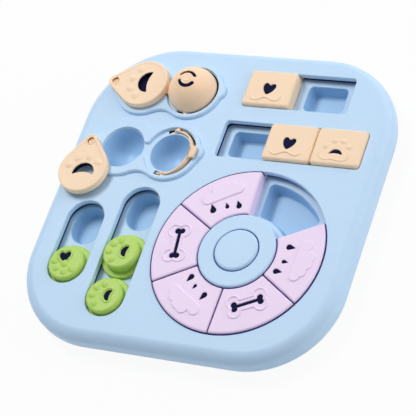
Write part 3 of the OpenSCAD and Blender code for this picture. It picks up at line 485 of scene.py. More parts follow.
    def make(self, name, body, material, stands_for=(), sharp=32.0, weld=True):
        """Turns the mesh into an object in metres that rides on a CAD body."""
        if weld:
            bmesh.ops.remove_doubles(self.bm, verts=self.bm.verts, dist=2e-4)
        bmesh.ops.recalc_face_normals(self.bm, faces=self.bm.faces)
        bmesh.ops.scale(self.bm, vec=(MM, MM, MM), verts=self.bm.verts)
        mesh = bpy.data.meshes.new(name)
        self.bm.to_mesh(mesh)
        self.bm.free()
        mesh.shade_smooth()
        mesh.set_sharp_from_angle(angle=rad(sharp))
        o = bpy.data.objects.new(name, mesh)
        bpy.context.scene.collection.objects.link(o)
        mesh.materials.append(material)
        weight = o.modifiers.new("weighted", "WEIGHTED_NORMAL")
        weight.keep_sharp = True
        weight.mode = "FACE_AREA"
        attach(o, body)
        if stands_for:
            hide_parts(*stands_for)
        return o


def edge(z0, z1, rb, rt, steps=5):
    """Profile of a plate's side with rounded lower and upper edges."""
    out = []
    if rb > 0:
        for i in range(steps + 1):
            t = 90 * i / steps
            out.append((rb * (1 - math.sin(rad(t))), z0 + rb * (1 - math.cos(rad(t)))))
    else:
        out.append((0.0, z0))
    if rt > 0:
        for i in range(steps + 1):
            t = 90 * i / steps
            out.append((rt * (1 - math.cos(rad(t))), z1 - rt * (1 - math.sin(rad(t)))))
    else:
        out.append((0.0, z1))
    return [p for i, p in enumerate(out) if i == 0 or math.dist(p, out[i - 1]) > 1e-4]


def shoulder(r, z, soft):
    """Rounded upper edge of a turned piece of radius r, as (radius, z) pairs."""
    return [(r - soft * (1 - math.cos(rad(t))), z - soft * (1 - math.sin(rad(t)))) for t in range(15, 91, 15)]


def half_ball(r, z, angles):
    """Lower half of a ball with its middle at height z, as (radius, z) pairs down to its lowest point."""
    return [(r * math.cos(rad(t)), z - r * math.sin(rad(t))) for t in angles] + [(0, z - r)]


def slider_side(top, soft):
    """Side of a slider, from the rim of its hollow underside to its softened upper edge."""
    return [(1.8, FLANGE), (0, FLANGE)] + edge(FLANGE, top, 0, soft, 6)


def soft_cut(z):
    """Side of a motif cut down from a face at z, with a soft upper edge."""
    return [(-0.4, z), (-0.12, z - 0.12), (0, z - 0.45), (0, z - CUT_DEPTH)]


# ---------------------------------------------------------------- materials
MOTTLE_SCALE, GRAIN_SCALE, BRUSH_SCALE = 38, 1500, 900
MOTTLE_SHARE = 0.03


def linear(c):
    """sRGB colour, 0 to 255, as linear light."""
    return [v / 12.92 if v <= 0.04045 else ((v + 0.055) / 1.055) ** 2.4 for v in (x / 255 for x in c)]


def add_node(tree, kind, **values):
    """New shader node with inputs set by name, where an underscore stands for a space."""
    node = tree.nodes.new("ShaderNode" + kind)
    for key, value in values.items():
        node.inputs[key.replace("_", " ")].default_value = value
    return node


def new_material(name):
    m = bpy.data.materials.new(name)
    m.use_nodes = True
    return m, m.node_tree, m.node_tree.nodes["Principled BSDF"]


def plastic(name, colour, rough=0.46, grain=0.05, specular=0.35):
    """Moulded satin plastic: fine spark-eroded grain, slight flow mottling, uneven roughness."""
    m, tree, bsdf = new_material(name)
    bsdf.inputs["Specular IOR Level"].default_value = specular
    coord = add_node(tree, "TexCoord")
    mottle = add_node(tree, "TexNoise", Scale=MOTTLE_SCALE, Detail=3)
    fine = add_node(tree, "TexNoise", Scale=GRAIN_SCALE, Detail=2)
    rgb = linear(colour)
    mix = add_node(tree, "Mix")
    mix.data_type = "RGBA"
    low, high = mix.inputs[6], mix.inputs[7]
    low.default_value = [v * (1 - MOTTLE_SHARE) for v in rgb] + [1]
    high.default_value = [min(1, v * (1 + MOTTLE_SHARE)) for v in rgb] + [1]
    spread = add_node(tree, "MapRange", To_Min=rough - 0.05, To_Max=rough + 0.07)
    bump = add_node(tree, "Bump", Strength=grain, Distance=0.0004)
    link = tree.links.new
    link(coord.outputs["Object"], mottle.inputs["Vector"])
    link(coord.outputs["Object"], fine.inputs["Vector"])
    link(mottle.outputs["Fac"], mix.inputs[0])
    link(mix.outputs[2], bsdf.inputs["Base Color"])
    link(mottle.outputs["Fac"], spread.inputs["Value"])
    link(spread.outputs["Result"], bsdf.inputs["Roughness"])
    link(fine.outputs["Fac"], bump.inputs["Height"])
    link(bump.outputs["Normal"], bsdf.inputs["Normal"])
    return m


def metal(name, colour, rough):
    """Metal with an uneven gloss."""
    m, tree, bsdf = new_material(name)
    bsdf.inputs["Metallic"].default_value = 1.0
    bsdf.inputs["Base Color"].default_value = linear(colour) + [1]
    noise = add_node(tree, "TexNoise", Scale=BRUSH_SCALE)
    coord = add_node(tree, "TexCoord")
    spread = add_node(tree, "MapRange", To_Min=rough - 0.08, To_Max=rough + 0.1)
    link = tree.links.new
    link(coord.outputs["Object"], noise.inputs["Vector"])
    link(noise.outputs["Fac"], spread.inputs["Value"])
    link(spread.outputs["Result"], bsdf.inputs["Roughness"])
    return m


BLUE = plastic("board_blue", (195, 224, 252))
# board blue darkened and saturated to paint the shade in the bowls; its lower roughness is the bowls' real
# gloss
BOWL_PAINTED_SHADE_BLUE = plastic("bowl_blue_painted_shade", (168, 208, 243), rough=0.4, grain=0.02, specular=0.5)
# board blue darkened to paint the shade in the wells
WELL_PAINTED_SHADE_BLUE = plastic("well_blue_painted_shade", (168, 207, 241))
PEACH = plastic("lid_peach", (253, 222, 190), rough=0.5)
# lid peach made warmer to paint the warmer shading on the dome's curve
DOME_PEACH_WARM_SHADE = plastic("dome_peach_painted_warm_shade", (255, 218, 184), rough=0.42)
GREEN = plastic("disc_green", (184, 219, 104), rough=0.45)
LILAC = plastic("ring_lilac", (245, 223, 251), rough=0.5)
# painted shade for the narrow gaps round and between the ring segments
SEAM_PAINTED_SHADE = plastic("ring_seam_painted_shade", (62, 54, 122), rough=0.85, specular=0.1)
# painted shade for the undercuts under the slot lips and the slit round the button
PAINTED_SHADE_NAVY = plastic("slot_painted_shade_navy", (44, 78, 140), rough=0.85, specular=0.1)
PAINTED_SHADE_BLUE = plastic("slot_painted_shade_blue", (78, 124, 176), rough=0.85, specular=0.1)
# near-black painted shade: dark sheets put in cut-outs, slots and gaps where there is only shade
PAINTED_SHADE_DARK = plastic("cavity_painted_shade", (22, 25, 62), rough=0.85, specular=0.1)
RUBBER = plastic("grey_rubber", (142, 147, 154), rough=0.8, grain=0.2)
STEEL = metal("screw_steel", (190, 193, 198), 0.35)


# ---------------------------------------------------------------- case
def block_slot(key):
    x, length, y = BLOCK_SLOTS[key]
    return rect(length, BLOCK_SLOT_W, 3.0, x + length / 2, y)


def disc_slot(key):
    x, top, length = DISC_SLOTS[key]
    return stadium(DISC_SLOT_W, length, x, top - length / 2)


def wheel_rim():
    return circle(WHEEL_R, *WHEEL, n=144)


def build_cover():
    """Cover with its openings and the lips round them, and strips that paint the shade on the backs of the
    tracks under the lips.
    """
    p = Part()
    rings = p.loft(rect(BOARD_W, BOARD_W, CORNER_R, step=3), edge(PART, TOP, 0, TOP_ROUND, 10))
    lip = [(-0.8, TOP), (-0.42, TOP - 0.1), (-0.12, TOP - 0.4), (0, TOP - 0.85), (0, LIP_LOW + 0.4),
           (-0.35, LIP_LOW), (-REACH, LIP_LOW)]
    openings = [block_slot("upper"), block_slot("lower"), disc_slot("left"), disc_slot("right"), wheel_rim()]
    holes = [p.loft(h, lip)[0] for h in openings]
    # painted shade: navy strips in the block slots and blue ones elsewhere darken the track backs under the
    # lips
    low, high = LEDGE + 0.03, LIP_LOW - 0.03
    for k, h in enumerate(openings):
        shade = Part()
        shade.loft(h, [(-0.5, high), (-REACH + 0.04, high), (-REACH + 0.04, low), (-0.9, low)])
        colour = PAINTED_SHADE_NAVY if k < len(BLOCK_SLOTS) else PAINTED_SHADE_BLUE
        shade.make("track_shade_%d" % (k + 1), "case", colour, weld=False)
    rows = [moved(offset(row_outline(), 1.5), DOME_X, y) for y in ROW_Y]
    holes += [p.loft(r, [(0, TOP), (0, TOP - 2.4)])[0] for r in rows]
    p.fill(rings[-1], holes)
    p.make("board_cover", "case", BLUE,
           ["cover_over_rows", "cover_over_blocks", "cover_over_discs", "cover_over_ring", "cover_wall_left",
            "cover_wall_right"] + [k + "_collar" for k in SLOTS])


def well(p, loop):
    """Hollow from the ledge down, with a rounded foot."""
    draft, fillet = 1.2, 1.6
    lip = [(-0.9, LEDGE), (-0.35, LEDGE - 0.15), (0, LEDGE - 0.8)]
    floor = [(draft + fillet * (1 - math.cos(rad(t))), WELL + fillet * (1 - math.sin(rad(t))))
             for t in range(0, 91, 15)]
    rings = p.loft(loop, lip + floor)
    p.fill(rings[-1])


def build_tray(name, outline, loops, cups, post=False):
    """Ledge plate with its cups: hollow above, closed walls and floors below."""
    p = Part()
    wells = Part()
    under, past = LEDGE - 2, -REACH - 1.0
    rim = p.loft(outline, [(past, under), (past, LEDGE)])
    for h in loops:
        well(wells, h)
    # the wells take the darker blue that paints their shade
    wells.make(name + "_wells", "case", WELL_PAINTED_SHADE_BLUE)
    p.fill(rim[-1], [p.ring(offset(h, -0.88), LEDGE) for h in loops])
    skirts = [p.loft(h, [(-1.6, under), (-1.6, 5.0), (-0.9, 3.6), (0.4, 3.1)]) for h in loops]
    for k in skirts:
        p.fill(k[-1])
    p.fill(rim[0], [k[0] for k in skirts])
    stands_for = [name + "_ledge"] + cups
    if post:
        r_out, r_in = 26.1, 19.65
        p.lathe([(r_out, LEDGE - 1), (r_out, LIP_LOW), (r_in, LIP_LOW), (r_in, WELL), (0, WELL)], *WHEEL)
        stands_for.append("hub_post")
    p.make(name + "_tray", "case", BLUE, stands_for)


def build_trays():
    """Trays under the five openings, with a well for each treat cup."""
    well_len, block_well_w, block_well_r, block_margin = 31.6, 21.5, 3.6, 7.6
    disc_well_w, disc_well_pitch, disc_margin = 24.8, 37.8, 1.6
    for key, pitch, count, number in (("upper", 39.8, 2, 1), ("lower", 36.2, 3, 3)):
        x, length, y = BLOCK_SLOTS[key]
        last = x + length - block_margin - well_len / 2
        wells = [rect(well_len, block_well_w, block_well_r, last - k * pitch, y) for k in range(count)]
        cups = ["square_cup_%d" % (number + k) for k in range(count)]
        build_tray(key + "_block", block_slot(key), wells, cups)
    for key, count, number in (("left", 2, 1), ("right", 3, 3)):
        x, top, _ = DISC_SLOTS[key]
        first = top - disc_margin - well_len / 2
        wells = [stadium(disc_well_w, well_len, x, first - k * disc_well_pitch) for k in range(count)]
        cups = ["round_cup_%d" % (number + k) for k in range(count)]
        build_tray(key + "_disc", disc_slot(key), wells, cups)
    inner_r, outer_r, land, corner_r = 34.5, 63, 4, 3.4
    wells = [moved(sector(inner_r, outer_r, 60 * k, 30, land, corner_r), *WHEEL) for k in range(6)]
    build_tray("ring", wheel_rim(), wells, ["sector_cup_%d" % (k + 1) for k in range(6)], post=True)


def bowl_profile(r):
    """Rounded rim and hemispherical bowl under the sunk face, as inward offsets of a circle of radius r."""
    steps = 14
    out = [(-0.5, RECESS), (-0.15, RECESS - 0.12)]
    for i in range(1, steps):
        t = 90 * i / steps
        out.append((r - r * math.cos(rad(t)), RECESS - r * math.sin(rad(t))))
    return out


def build_row(k):
    """Bowl row with its raised rim, sunk face, two bowls and the slot that the dome rolls through."""
    p = Part()
    seat = Matrix.Translation((DOME_X, ROW_Y[k], 0))
    skirt_z = 21.0
    outer = p.loft(row_outline(), [(1.5, 21.2), (1.5, TOP), (0, TOP)] + edge(TOP, RIM, 0, 1.4)[1:])
    inner = p.loft(recess_outline(), [(-0.9, RIM), (-0.4, RIM - 0.12), (-0.08, RIM - 0.5), (0, RIM - 1.0),
                                      (0.05, RECESS + 0.3), (0.3, RECESS)])
    pin_hole = p.loft(circle(2.4, -PITCH - PIN_PITCH, 0, 32), [(0, RIM), (0, skirt_z)])
    p.fill(outer[-1], [inner[0], pin_hole[0]])
    # the slot that the dome rolls through goes round its bowl on the side away from the fixed bowl
    slot = clean(arc(0, 0, 20.9, -114, 114, 3) + arc(0, 0, 17.7, 114, -114, 3))
    cut = p.loft(slot, [(0, RECESS), (0, skirt_z)])
    cups = Part()
    mouths = []
    for x, r in ((-PITCH, 17.2), (0, 16.3)):
        mouth = circle(r, x, 0, 96)
        cups.cap(cups.loft(mouth, bowl_profile(r))[-1])
        mouths.append(p.ring(offset(mouth, -0.5), RECESS))
    cups.place(seat)
    # the cups take the darker blue that paints their shade
    cups.make("bowl_cups_%d" % (k + 1), "case", BOWL_PAINTED_SHADE_BLUE)
    p.fill(inner[-1], [mouths[0], cut[0], mouths[1]])
    back_r = 18.6
    p.lathe([(back_r, skirt_z)] + half_ball(back_r, RECESS, range(8, 90, 8)), -PITCH, 0)
    # painted shade: dark sheets under the bowl and round the dome make the slot read as deep shadow
    shade = Part()
    for r, z, first, flare in ((17.6, RECESS, 1, 0), (20.3, DOME_Z, 3, 0.85)):
        shade.lathe([(r + flare, z - r * math.sin(rad(first)))] + half_ball(r, z, range(first, 88, 6)))
    shade.place(seat)
    shade.make("bowl_shade_%d" % (k + 1), "case", PAINTED_SHADE_DARK, weld=False)
    p.place(seat)
    p.make("bowl_rim_%d" % (k + 1), "case", BLUE, ["bowl_row_%d" % (k + 1)])


# ---------------------------------------------------------------- lids
def build_swivel(k):
    """Teardrop lid with a moon-shaped opening and four raised toes; lid 2 stands open."""
    p = Part()
    body = "swivel_lid_%d" % (k + 1)
    border, face = LID_T, LID_T - 0.42
    crescent = moon(18.6, 10.6, 2.4, PIN_PITCH + 5.6, 1.2, 90, 9)
    pocket = circle(3.5, 0, 0, 40)
    rings = p.loft(teardrop(LID_R, 5.4, PIN_PITCH),
                   edge(0, border, 0.6, 1.1) + [(2.0, border), (2.5, border - 0.12), (3.0, face)])
    cut = p.loft(crescent, [(-0.5, face), (-0.15, face - 0.15), (0, face - 0.5), (0, 0.4), (-0.3, 0)])
    head = p.loft(pocket, [(-0.8, face), (-0.6, face + 0.38), (-0.3, face + 0.5), (-0.05, face + 0.3),
                           (0, face - 0.1), (0, face - 2.4)])
    p.fill(rings[-1], [cut[0], head[0]])
    p.fill(rings[0], [cut[-1]])
    p.fill(head[-1])
    for x, y, a in ((22.6, -12.0, -62), (16.2, -6.0, -22), (15.4, 3.6, 18), (20.0, 12.4, 58)):
        p.dome_pad(x, y, face, 3.7, 3.0, 0.9, a)
    turn = 0 if k == 0 else -SWIVEL_OPEN
    seat = Matrix.Translation((PIN_X, ROW_Y[k], LID_Z)) @ Matrix.Rotation(rad(turn), 4, "Z")
    p.place(seat)
    p.make("swivel_cover_%d" % (k + 1), body, PEACH, [body])
    # painted shade: dark walls in the opening, and a dark sheet under lid 1, make it read as shadow
    shade = Part()
    shade.loft(crescent, [(0.06, face - 0.9), (0.06, 0.5), (0.3, 0.5), (0.3, face - 0.9)])
    if k == 0:
        shade.slab(offset(crescent, 0.1), 0.5, 0.9)
    shade.place(seat)
    shade.make("swivel_shade_%d" % (k + 1), body, PAINTED_SHADE_DARK, weld=False)


def build_pins():
    """Pins with dimpled heads that the swivel lids turn on."""
    top = LID_Z + LID_T - 1.92
    tail = LID_Z - 8
    head = [(0, top - 0.5), (0.7, top - 0.45), (1.1, top), (2.3, top), (2.9, top - 0.2), (3.1, top - 0.6),
            (3.1, top - 1.4)]
    shank = [(2.25, top - 1.5), (2.25, tail), (0, tail)]
    p = Part()
    for y in ROW_Y:
        p.lathe(head + shank, PIN_X, y, n=48)
    p.make("swivel_pins", "case", PEACH, ["lid_pins"])


def build_dome(k):
    """Half-sphere shell round the pivot line, worked out on a flat map of it that is true to length from its
    top outwards; dome 2 stands open."""
    p = Part()
    body = "dome_lid_%d" % (k + 1)
    ro, ri, cut = 19.6, 18.2, 1.0

    def limit(phi):
        """Angle from the top at which the shell ends, where its border leans by cut degrees."""
        c = math.cos(phi) * math.tan(rad(cut))
        return math.atan2(1, c) if c > 0 else math.pi / 2

    def flat(x, y):
        h = math.hypot(x, y)
        t = math.asin(min(1, h / ro))
        return (ro * t * x / h, ro * t * y / h) if h > 1e-9 else (0.0, 0.0)

    def shell(r):
        def put(u, v):
            h = math.hypot(u, v)
            t = h / ro
            s = math.sin(t) / h if h > 1e-9 else 0
            return (r * s * u, r * s * v, r * math.cos(t))
        return put

    around = [2 * math.pi * i / 120 for i in range(120)]
    border = [(ro * limit(a) * math.cos(a), ro * limit(a) * math.sin(a)) for a in around]
    slots = [band(arc3((-4.6, 3.6), (-1.0, 6.2), (7.0, 3.6)), 2.7),
             band(arc3((-4.2, -2.0), (1.9, -6.0), (7.0, -2.8)), 2.8)]
    slots = [[flat(x, y) for x, y in s] for s in slots]
    grid = []
    step, reach = 1.5, 22
    for i in range(-reach, reach + 1):
        for j in range(-reach, reach + 1):
            g = (i * step + (j % 2) * step / 2, j * step * 0.87)
            if inside(g, offset(border, 0.8)) and not any(inside(g, offset(s, -0.7)) for s in slots):
                grid.append(g)
    made = []
    for r in (ro, ri):
        put = shell(r)
        rings = [[p.bm.verts.new(put(u, v)) for u, v in loop] for loop in [border, *slots]]
        p.fill(rings[0], rings[1:], {"loops": [border, *slots], "map": put}, grid)
        made.append(rings)
    for a, b in zip(*made):
        p.bridge(a, b)
    p.slab(rect(6.4, 10.0, 1.3, -20.9, 0), 0, 2.6, 0.7, 0.5)
    ear = [(0, 17.9), (1.7, 17.95), (2.4, 18.3), (2.5, 18.7), (2.5, 19.3), (2.2, 19.8), (1.5, 19.95),
           (1.5, 23.0), (0, 23.1)]
    for side in (-1, 1):
        pivot = Part()
        pivot.lathe(ear, n=32)
        pivot.place(Matrix.Rotation(rad(-90 * side), 4, "X"))
        p.join(pivot)
    # painted shade: dark sheets just under the slots make them read as shadowed holes
    shade = Part()
    for r in (18.85, 18.6):
        put = shell(r)
        for a in slots:
            loop = offset(a, -0.25)
            shade.fill([shade.bm.verts.new(put(u, v)) for u, v in loop], (), {"loops": [loop], "map": put})
    h = math.sqrt(ro * ro - 3.3 ** 2)
    knob = Part()
    knob.lathe([(2.5, h + 0.1), (2.8, h + 0.3), (3.2, h + 0.36), (3.6, h + 0.16), (3.9, h - 0.25)], n=40)
    knob.place(Matrix.Rotation(rad(3.6), 4, "Y") @ Matrix.Rotation(rad(-1.5), 4, "X"))
    p.join(knob)
    turn = 0 if k == 0 else DOME_OPEN
    seat = Matrix.Translation((DOME_X, ROW_Y[k], DOME_Z)) @ Matrix.Rotation(rad(turn), 4, "Y")
    shade.place(seat)
    shade.make("dome_shade_%d" % (k + 1), body, PAINTED_SHADE_DARK, weld=False)
    p.place(seat)
    p.make("dome_shell_%d" % (k + 1), body, DOME_PEACH_WARM_SHADE, [body], sharp=40)


# ---------------------------------------------------------------- sliders
def build_block(k):
    """Block 1 rests at the left end of its slot, blocks 2 and 3 at the right end of theirs."""
    p = Part()
    z1 = TOP + SLIDER_RISE
    x, length, y = BLOCK_SLOTS["upper" if k == 1 else "lower"]
    if k == 1:
        cx = x + GAP + BLOCK_LEN / 2
    else:
        cx = x + length - GAP - BLOCK_LEN / 2 - (3 - k) * BLOCK_STEP
    seat = Matrix.Translation((cx, y, 0))
    if k == 3:
        hole = moon(11.0, 4.4, 0.9, -0.8, -6.6, 0, 3)
    else:
        hole = heart(10.4, 9.8, -0.6, -0.7 if k == 1 else -1.0, -6)
    outer = p.loft(rect(BLOCK_LEN, BLOCK_W, 2.8, 0, 0, 10), slider_side(z1, 2.2))
    cut = p.loft(hole, [(-0.5, z1), (-0.15, z1 - 0.15), (0, z1 - 0.5), (0, z1 - CUT_DEPTH)])
    p.fill(outer[-1], [cut[0]])
    inner = p.loft(rect(BLOCK_LEN - 3.6, BLOCK_W - 3.6, 1.6, 0, 0, 10), [(0, FLANGE), (0, z1 - CUT_DEPTH)])
    p.fill(outer[0], [inner[0]])
    p.fill(inner[-1], [cut[-1]])
    for s in (-1, 1):
        flange = rect(BLOCK_LEN - 0.4, 3.4, 0.8, 0, s * (BLOCK_W / 2 + 0.8))
        p.slab(flange, FLANGE, FLANGE + FLANGE_T, 0.4, 0.3)
    if k == 3:
        for x, y, a in ((-9.5, -0.5, 30), (-3.8, 4.6, 8), (3.2, 4.8, -8), (8.8, 0.2, -30)):
            p.dome_pad(x, y, z1, 2.9, 2.3, 0.75, a)
        wave = curve([(-13.2, -6.2), (-12.4, -9.4), (-8.4, -11.6), (-3.4, -10.8), (1.2, -11.4), (6.2, -11.8),
                      (10.2, -9.4), (10.6, -5.8)])
        p.ridge(wave, 1.4, 0.55, z1)
    else:
        wave = curve([(-13.8, -8.4), (-11.6, -10.6), (-8.6, -11.4), (-5.6, -10.4), (-2.4, -8.6), (1.6, -8.9),
                      (5.0, -10.6), (8.2, -10.9), (10.6, -9.4), (11.2, -7.0)])
        p.ridge(wave, 1.7, 0.8, z1)
    p.place(seat)
    p.make("slider_block_%d" % k, "block_%d" % k, PEACH, ["block_%d" % k])
    # painted shade: a dark sheet under the cut motif makes the hole read as deep shadow
    shade_sheet = Part()
    shade_sheet.slab(offset(hole, 0.04), z1 - SHADE_SHEET_DEPTH, z1 - 0.9)
    shade_sheet.place(seat)
    shade_sheet.make("block_liner_%d" % k, "block_%d" % k, PAINTED_SHADE_DARK)


def build_disc(k):
    """Disc 1 rests at the near end of the left slot, discs 2 and 3 at the near end of the right one."""
    p = Part()
    z1 = TOP + SLIDER_RISE
    cx, top, length = DISC_SLOTS["left" if k == 1 else "right"]
    cy = top - length + DISC_SLOT_W / 2 + (DISC_STEP if k == 2 else 0)
    seat = Matrix.Translation((cx, cy, 0))
    if k == 1:
        hole = heart(9.2, 7.8, -2.0, 4.4, 12)
        toes = [(-9.4, -0.6), (-5.4, -6.2), (1.6, -8.2), (7.8, -5.4), (0.2, -1.6)]
    else:
        hole = moon(8.8, 5.6, 0.9, 6.0, 0.2, 84, 6)
        toes = [(-1.6, 8.8), (-7.4, 5.2), (-9.2, -1.4), (-4.6, -7.6)]
    flange = [(1.0, FLANGE), (-4.2, FLANGE), (-4.2, FLANGE + 1.9), (-4.0, FLANGE + 2.4),
              (-3.5, FLANGE + 2.75), (-2.9, FLANGE + FLANGE_T), (-0.7, FLANGE + FLANGE_T),
              (-0.2, FLANGE + 3.0), (0, FLANGE + 3.5)]
    outer = p.loft(circle(14.3, 0, 0, 84), flange + edge(FLANGE + 4, z1, 0, 2.0, 6)[1:])
    cut = p.loft(hole, soft_cut(z1))
    p.fill(outer[-1], [cut[0]])
    inner = p.loft(circle(12.5, 0, 0, 72), [(0, FLANGE), (0, z1 - CUT_DEPTH)])
    p.fill(outer[0], [inner[0]])
    p.fill(inner[-1], [cut[-1]])
    for x, y in toes:
        p.dome_pad(x, y, z1, 3.2, 2.8, 1.1, math.degrees(math.atan2(y, x)))
    p.ridge(offset(hole, -1.3), 1.5, 0.7, z1, closed=True)
    p.place(seat)
    p.make("slider_disc_%d" % k, "disc_%d" % k, GREEN, ["disc_%d" % k])
    # painted shade: a dark sheet under the cut motif makes the hole read as deep shadow
    shade_sheet = Part()
    shade_sheet.slab(offset(hole, 0.04), z1 - SHADE_SHEET_DEPTH, z1 - 0.8)
    shade_sheet.place(seat)
    shade_sheet.make("disc_liner_%d" % k, "disc_%d" % k, PAINTED_SHADE_DARK)


# motifs of the ring segments, about the hub's middle: drops as (distance, angle, size), bones by their ends
DROPS = {0: [(42.9, 134.5, 2.8), (40.1, 119.6, 1.9), (38.1, 106.2, 2.5)],
         2: [(37.9, -137.7, 2.6), (39.4, -124.9, 1.65), (40.6, -108.4, 2.6)],
         4: [(40.4, 11.4, 2.6), (39.4, -5.9, 1.8), (37.7, -19.1, 2.5)]}
BONES = {1: ((51.5, 168.6), (49.2, -168.2)), 3: ((46.8, -73.2), (47.5, -48.9))}


def cloud():
    """Raised cloud: x is the distance from the hub's middle, y goes across; its base is flat."""
    middle, base = 53, 5.7
    lobes = [(51.4, v, 3.9) for v in range(-12, 13, 2)] + [
        (51.6, -12.7, 4.5), (54.9, -8.9, 4.6), (56.6, -2.2, 5.3), (57.2, 3.0, 5.0), (52.6, 11.8, 4.7)]
    out = []
    for i in range(150):
        c, s = math.cos(rad(2.4 * i)), math.sin(rad(2.4 * i))
        far = 0
        for x, y, r in lobes:
            b = (x - middle) * c + y * s
            d = b * b - ((x - middle) ** 2 + y * y - r * r)
            if d > 0:
                far = max(far, b + math.sqrt(d))
        if c < 0:
            far = min(far, base / -c)
        out.append((middle + far * c, far * s))
    return out


def build_segment(k):
    """Ring segment: three with a raised cloud and cut drops, two with a cut bone in a raised outline."""
    p = Part()
    body = "ring_segment_%d" % (k + 1)
    seat = Matrix.Translation((*WHEEL, 0))
    z1 = TOP + SEGMENT_RISE
    a0 = FIRST_ANGLE + SEGMENT_PITCH * k
    half = SEGMENT_PITCH / 2
    mid = a0 + half
    r0, r1 = 31.0, 67.4
    holes, lines = [], []
    if k in DROPS:
        for r, a, size in DROPS[k]:
            holes.append(drop(size * 0.88, size * 2.05, *polar(r, a), mid))
    else:
        (x0, y0), (x1, y1) = (polar(r, a) for r, a in BONES[k])
        c, a = ((x0 + x1) / 2, (y0 + y1) / 2), math.degrees(math.atan2(y1 - y0, x1 - x0))
        length = math.dist((x0, y0), (x1, y1))
        holes.append(bone(length + 4.8, 2.7, 2.3, *c, a))
        lines.append(bone(length + 10.2, 8.6, 4.9, *c, a))
    outer = p.loft(sector(r0, r1, mid, half, 0.4, 1.4), slider_side(z1, 1.8))
    cuts = [p.loft(h, soft_cut(z1)) for h in holes]
    p.fill(outer[-1], [c[0] for c in cuts])
    inner = p.loft(sector(r0 + 3.6, r1 - 1.8, mid, half, 2.0, 1.0), [(0, FLANGE), (0, z1 - CUT_DEPTH)])
    p.fill(outer[0], [inner[0]])
    p.fill(inner[-1], [c[-1] for c in cuts])
    for flange in (sector(26.5, 32.0, mid, half, 0.18, 0.5), sector(r1 - 1.0, 70.2, mid, half, 0.18, 0.8)):
        p.slab(flange, FLANGE, FLANGE + FLANGE_T, 0.3, 0.3)
    for line in lines:
        p.ridge(line, 1.7, 0.8, z1, closed=True)
    if k in DROPS:
        p.bump(turned(cloud(), mid), z1, 0.95, 0.8)
    p.place(seat)
    p.make("ring_slider_%d" % (k + 1), body, LILAC, [body])
    # painted shade: dark sheets under the cut motifs make the holes read as deep shadow
    shade_sheet = Part()
    for h in holes:
        shade_sheet.slab(offset(h, 0.04), z1 - SHADE_SHEET_DEPTH, z1 - 0.75)
    shade_sheet.place(seat)
    shade_sheet.make("ring_painted_shade_%d" % (k + 1), body, PAINTED_SHADE_DARK)
    # painted shade: dark strips along the segment's inner, outer and side edges darken the gaps
    seam = Part()
    for r, w, inset, drop_by in ((30.62, 0.74, 1.5, 0.9), (67.68, 0.54, 0.8, 1.0)):
        path = arc(0, 0, r, a0 + inset, a0 + SEGMENT_PITCH - inset, 3)
        seam.slab(band(path, w), FLANGE + 3, z1 - drop_by)
    if k < 4:
        seam.slab(turned(rect(34.6, 0.8, 0.1, 49.2, 0), a0 + SEGMENT_PITCH), FLANGE + 3, z1 - 1.1)
    seam.place(seat)
    seam.make("ring_seam_%d" % (k + 1), body, SEAM_PAINTED_SHADE)


def build_hub():
    """Hub collar, the push button in it, and a navy ring in the slit between them that paints the slit's
    shade.
    """
    z, inner_r = HUB_Z, 17.6
    ring = Part()
    outer = [(26.3, LIP_LOW), (29.6, LIP_LOW), (HUB_R, LIP_LOW + 0.5), (HUB_R, z - HUB_ROUND)]
    inner = [(18.6, z), (18.0, z - 0.15), (17.7, z - 0.6), (inner_r, z - 1.2), (inner_r, z - 2.6),
             (20.0, z - 2.6), (20.0, LIP_LOW)]
    ring.lathe(outer + shoulder(HUB_R, z, HUB_ROUND) + inner, *WHEEL, n=120, closed=True)
    ring.make("hub_collar", "case", BLUE, ["hub_ring"])
    button = Part()
    zb, flange_r, low = BUTTON_Z, 19.0, 20.6
    side = [(flange_r, low), (flange_r, 22.5), (BUTTON_R, 22.5), (BUTTON_R, zb - BUTTON_ROUND)]
    face = [(10, zb + 0.1), (0, zb + 0.15)]
    button.lathe(side + shoulder(BUTTON_R, zb, BUTTON_ROUND) + face, *WHEEL, n=120)
    button.lathe([(0, zb - 2.2), (15.3, zb - 2.2), (15.3, low), (flange_r, low)], *WHEEL, n=120)
    button.make("push_button", "centre_button", BLUE, ["centre_button"])
    # painted shade: a navy ring fills the slit so it reads as a shadowed gap
    shade = Part()
    shade.lathe([(r, z - d) for r, d in ((16.84, 2.2), (16.84, 0.9), (17.64, 0.9), (17.64, 2.2))],
                *WHEEL, n=96, closed=True)
    shade.make("hub_shade", "case", PAINTED_SHADE_NAVY)


def build_bellows():
    """Rubber bellows under the button."""
    p = Part()
    low, high, n = WELL, HUB_Z - 1.2, 30
    middle_r, fold, wall = 11.5, 1.5, 1.2
    outer = [(middle_r - fold * math.cos(rad(36 * i)), low + (high - low) * i / n) for i in range(n + 1)]
    p.lathe(outer + [(r - wall, z) for r, z in reversed(outer)], *WHEEL, n=64, closed=True)
    o = p.make("bellows_skin", "case", RUBBER, ["squeaker_bellows"], sharp=50)
    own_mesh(o)


build_cover()
build_trays()
for k in (0, 1):
    build_row(k)
    build_swivel(k)
    build_dome(k)
build_pins()
for k in (1, 2, 3):
    build_block(k)
    build_disc(k)
for k in range(5):
    build_segment(k)
build_hub()
build_bellows()

# ---------------------------------------------------------------- carried-over CAD nodes
for node, material, slot in (("base_pan", BLUE, "board_plastic"), ("pan_wall", BLUE, "board_plastic"),
                             ("pan_pads", BLUE, "board_plastic"), ("cover_posts", BLUE, "board_plastic"),
                             ("rubber_feet", RUBBER, "grey_rubber"), ("screws", STEEL, "steel")):
    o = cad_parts[node]
    o.data.materials.clear()
    o.data.materials.append(material)

# ---------------------------------------------------------------- floor, world, lamps, camera (in metres)
WHITE = (1, 1, 1, 1)
FLOOR_HALF = 6


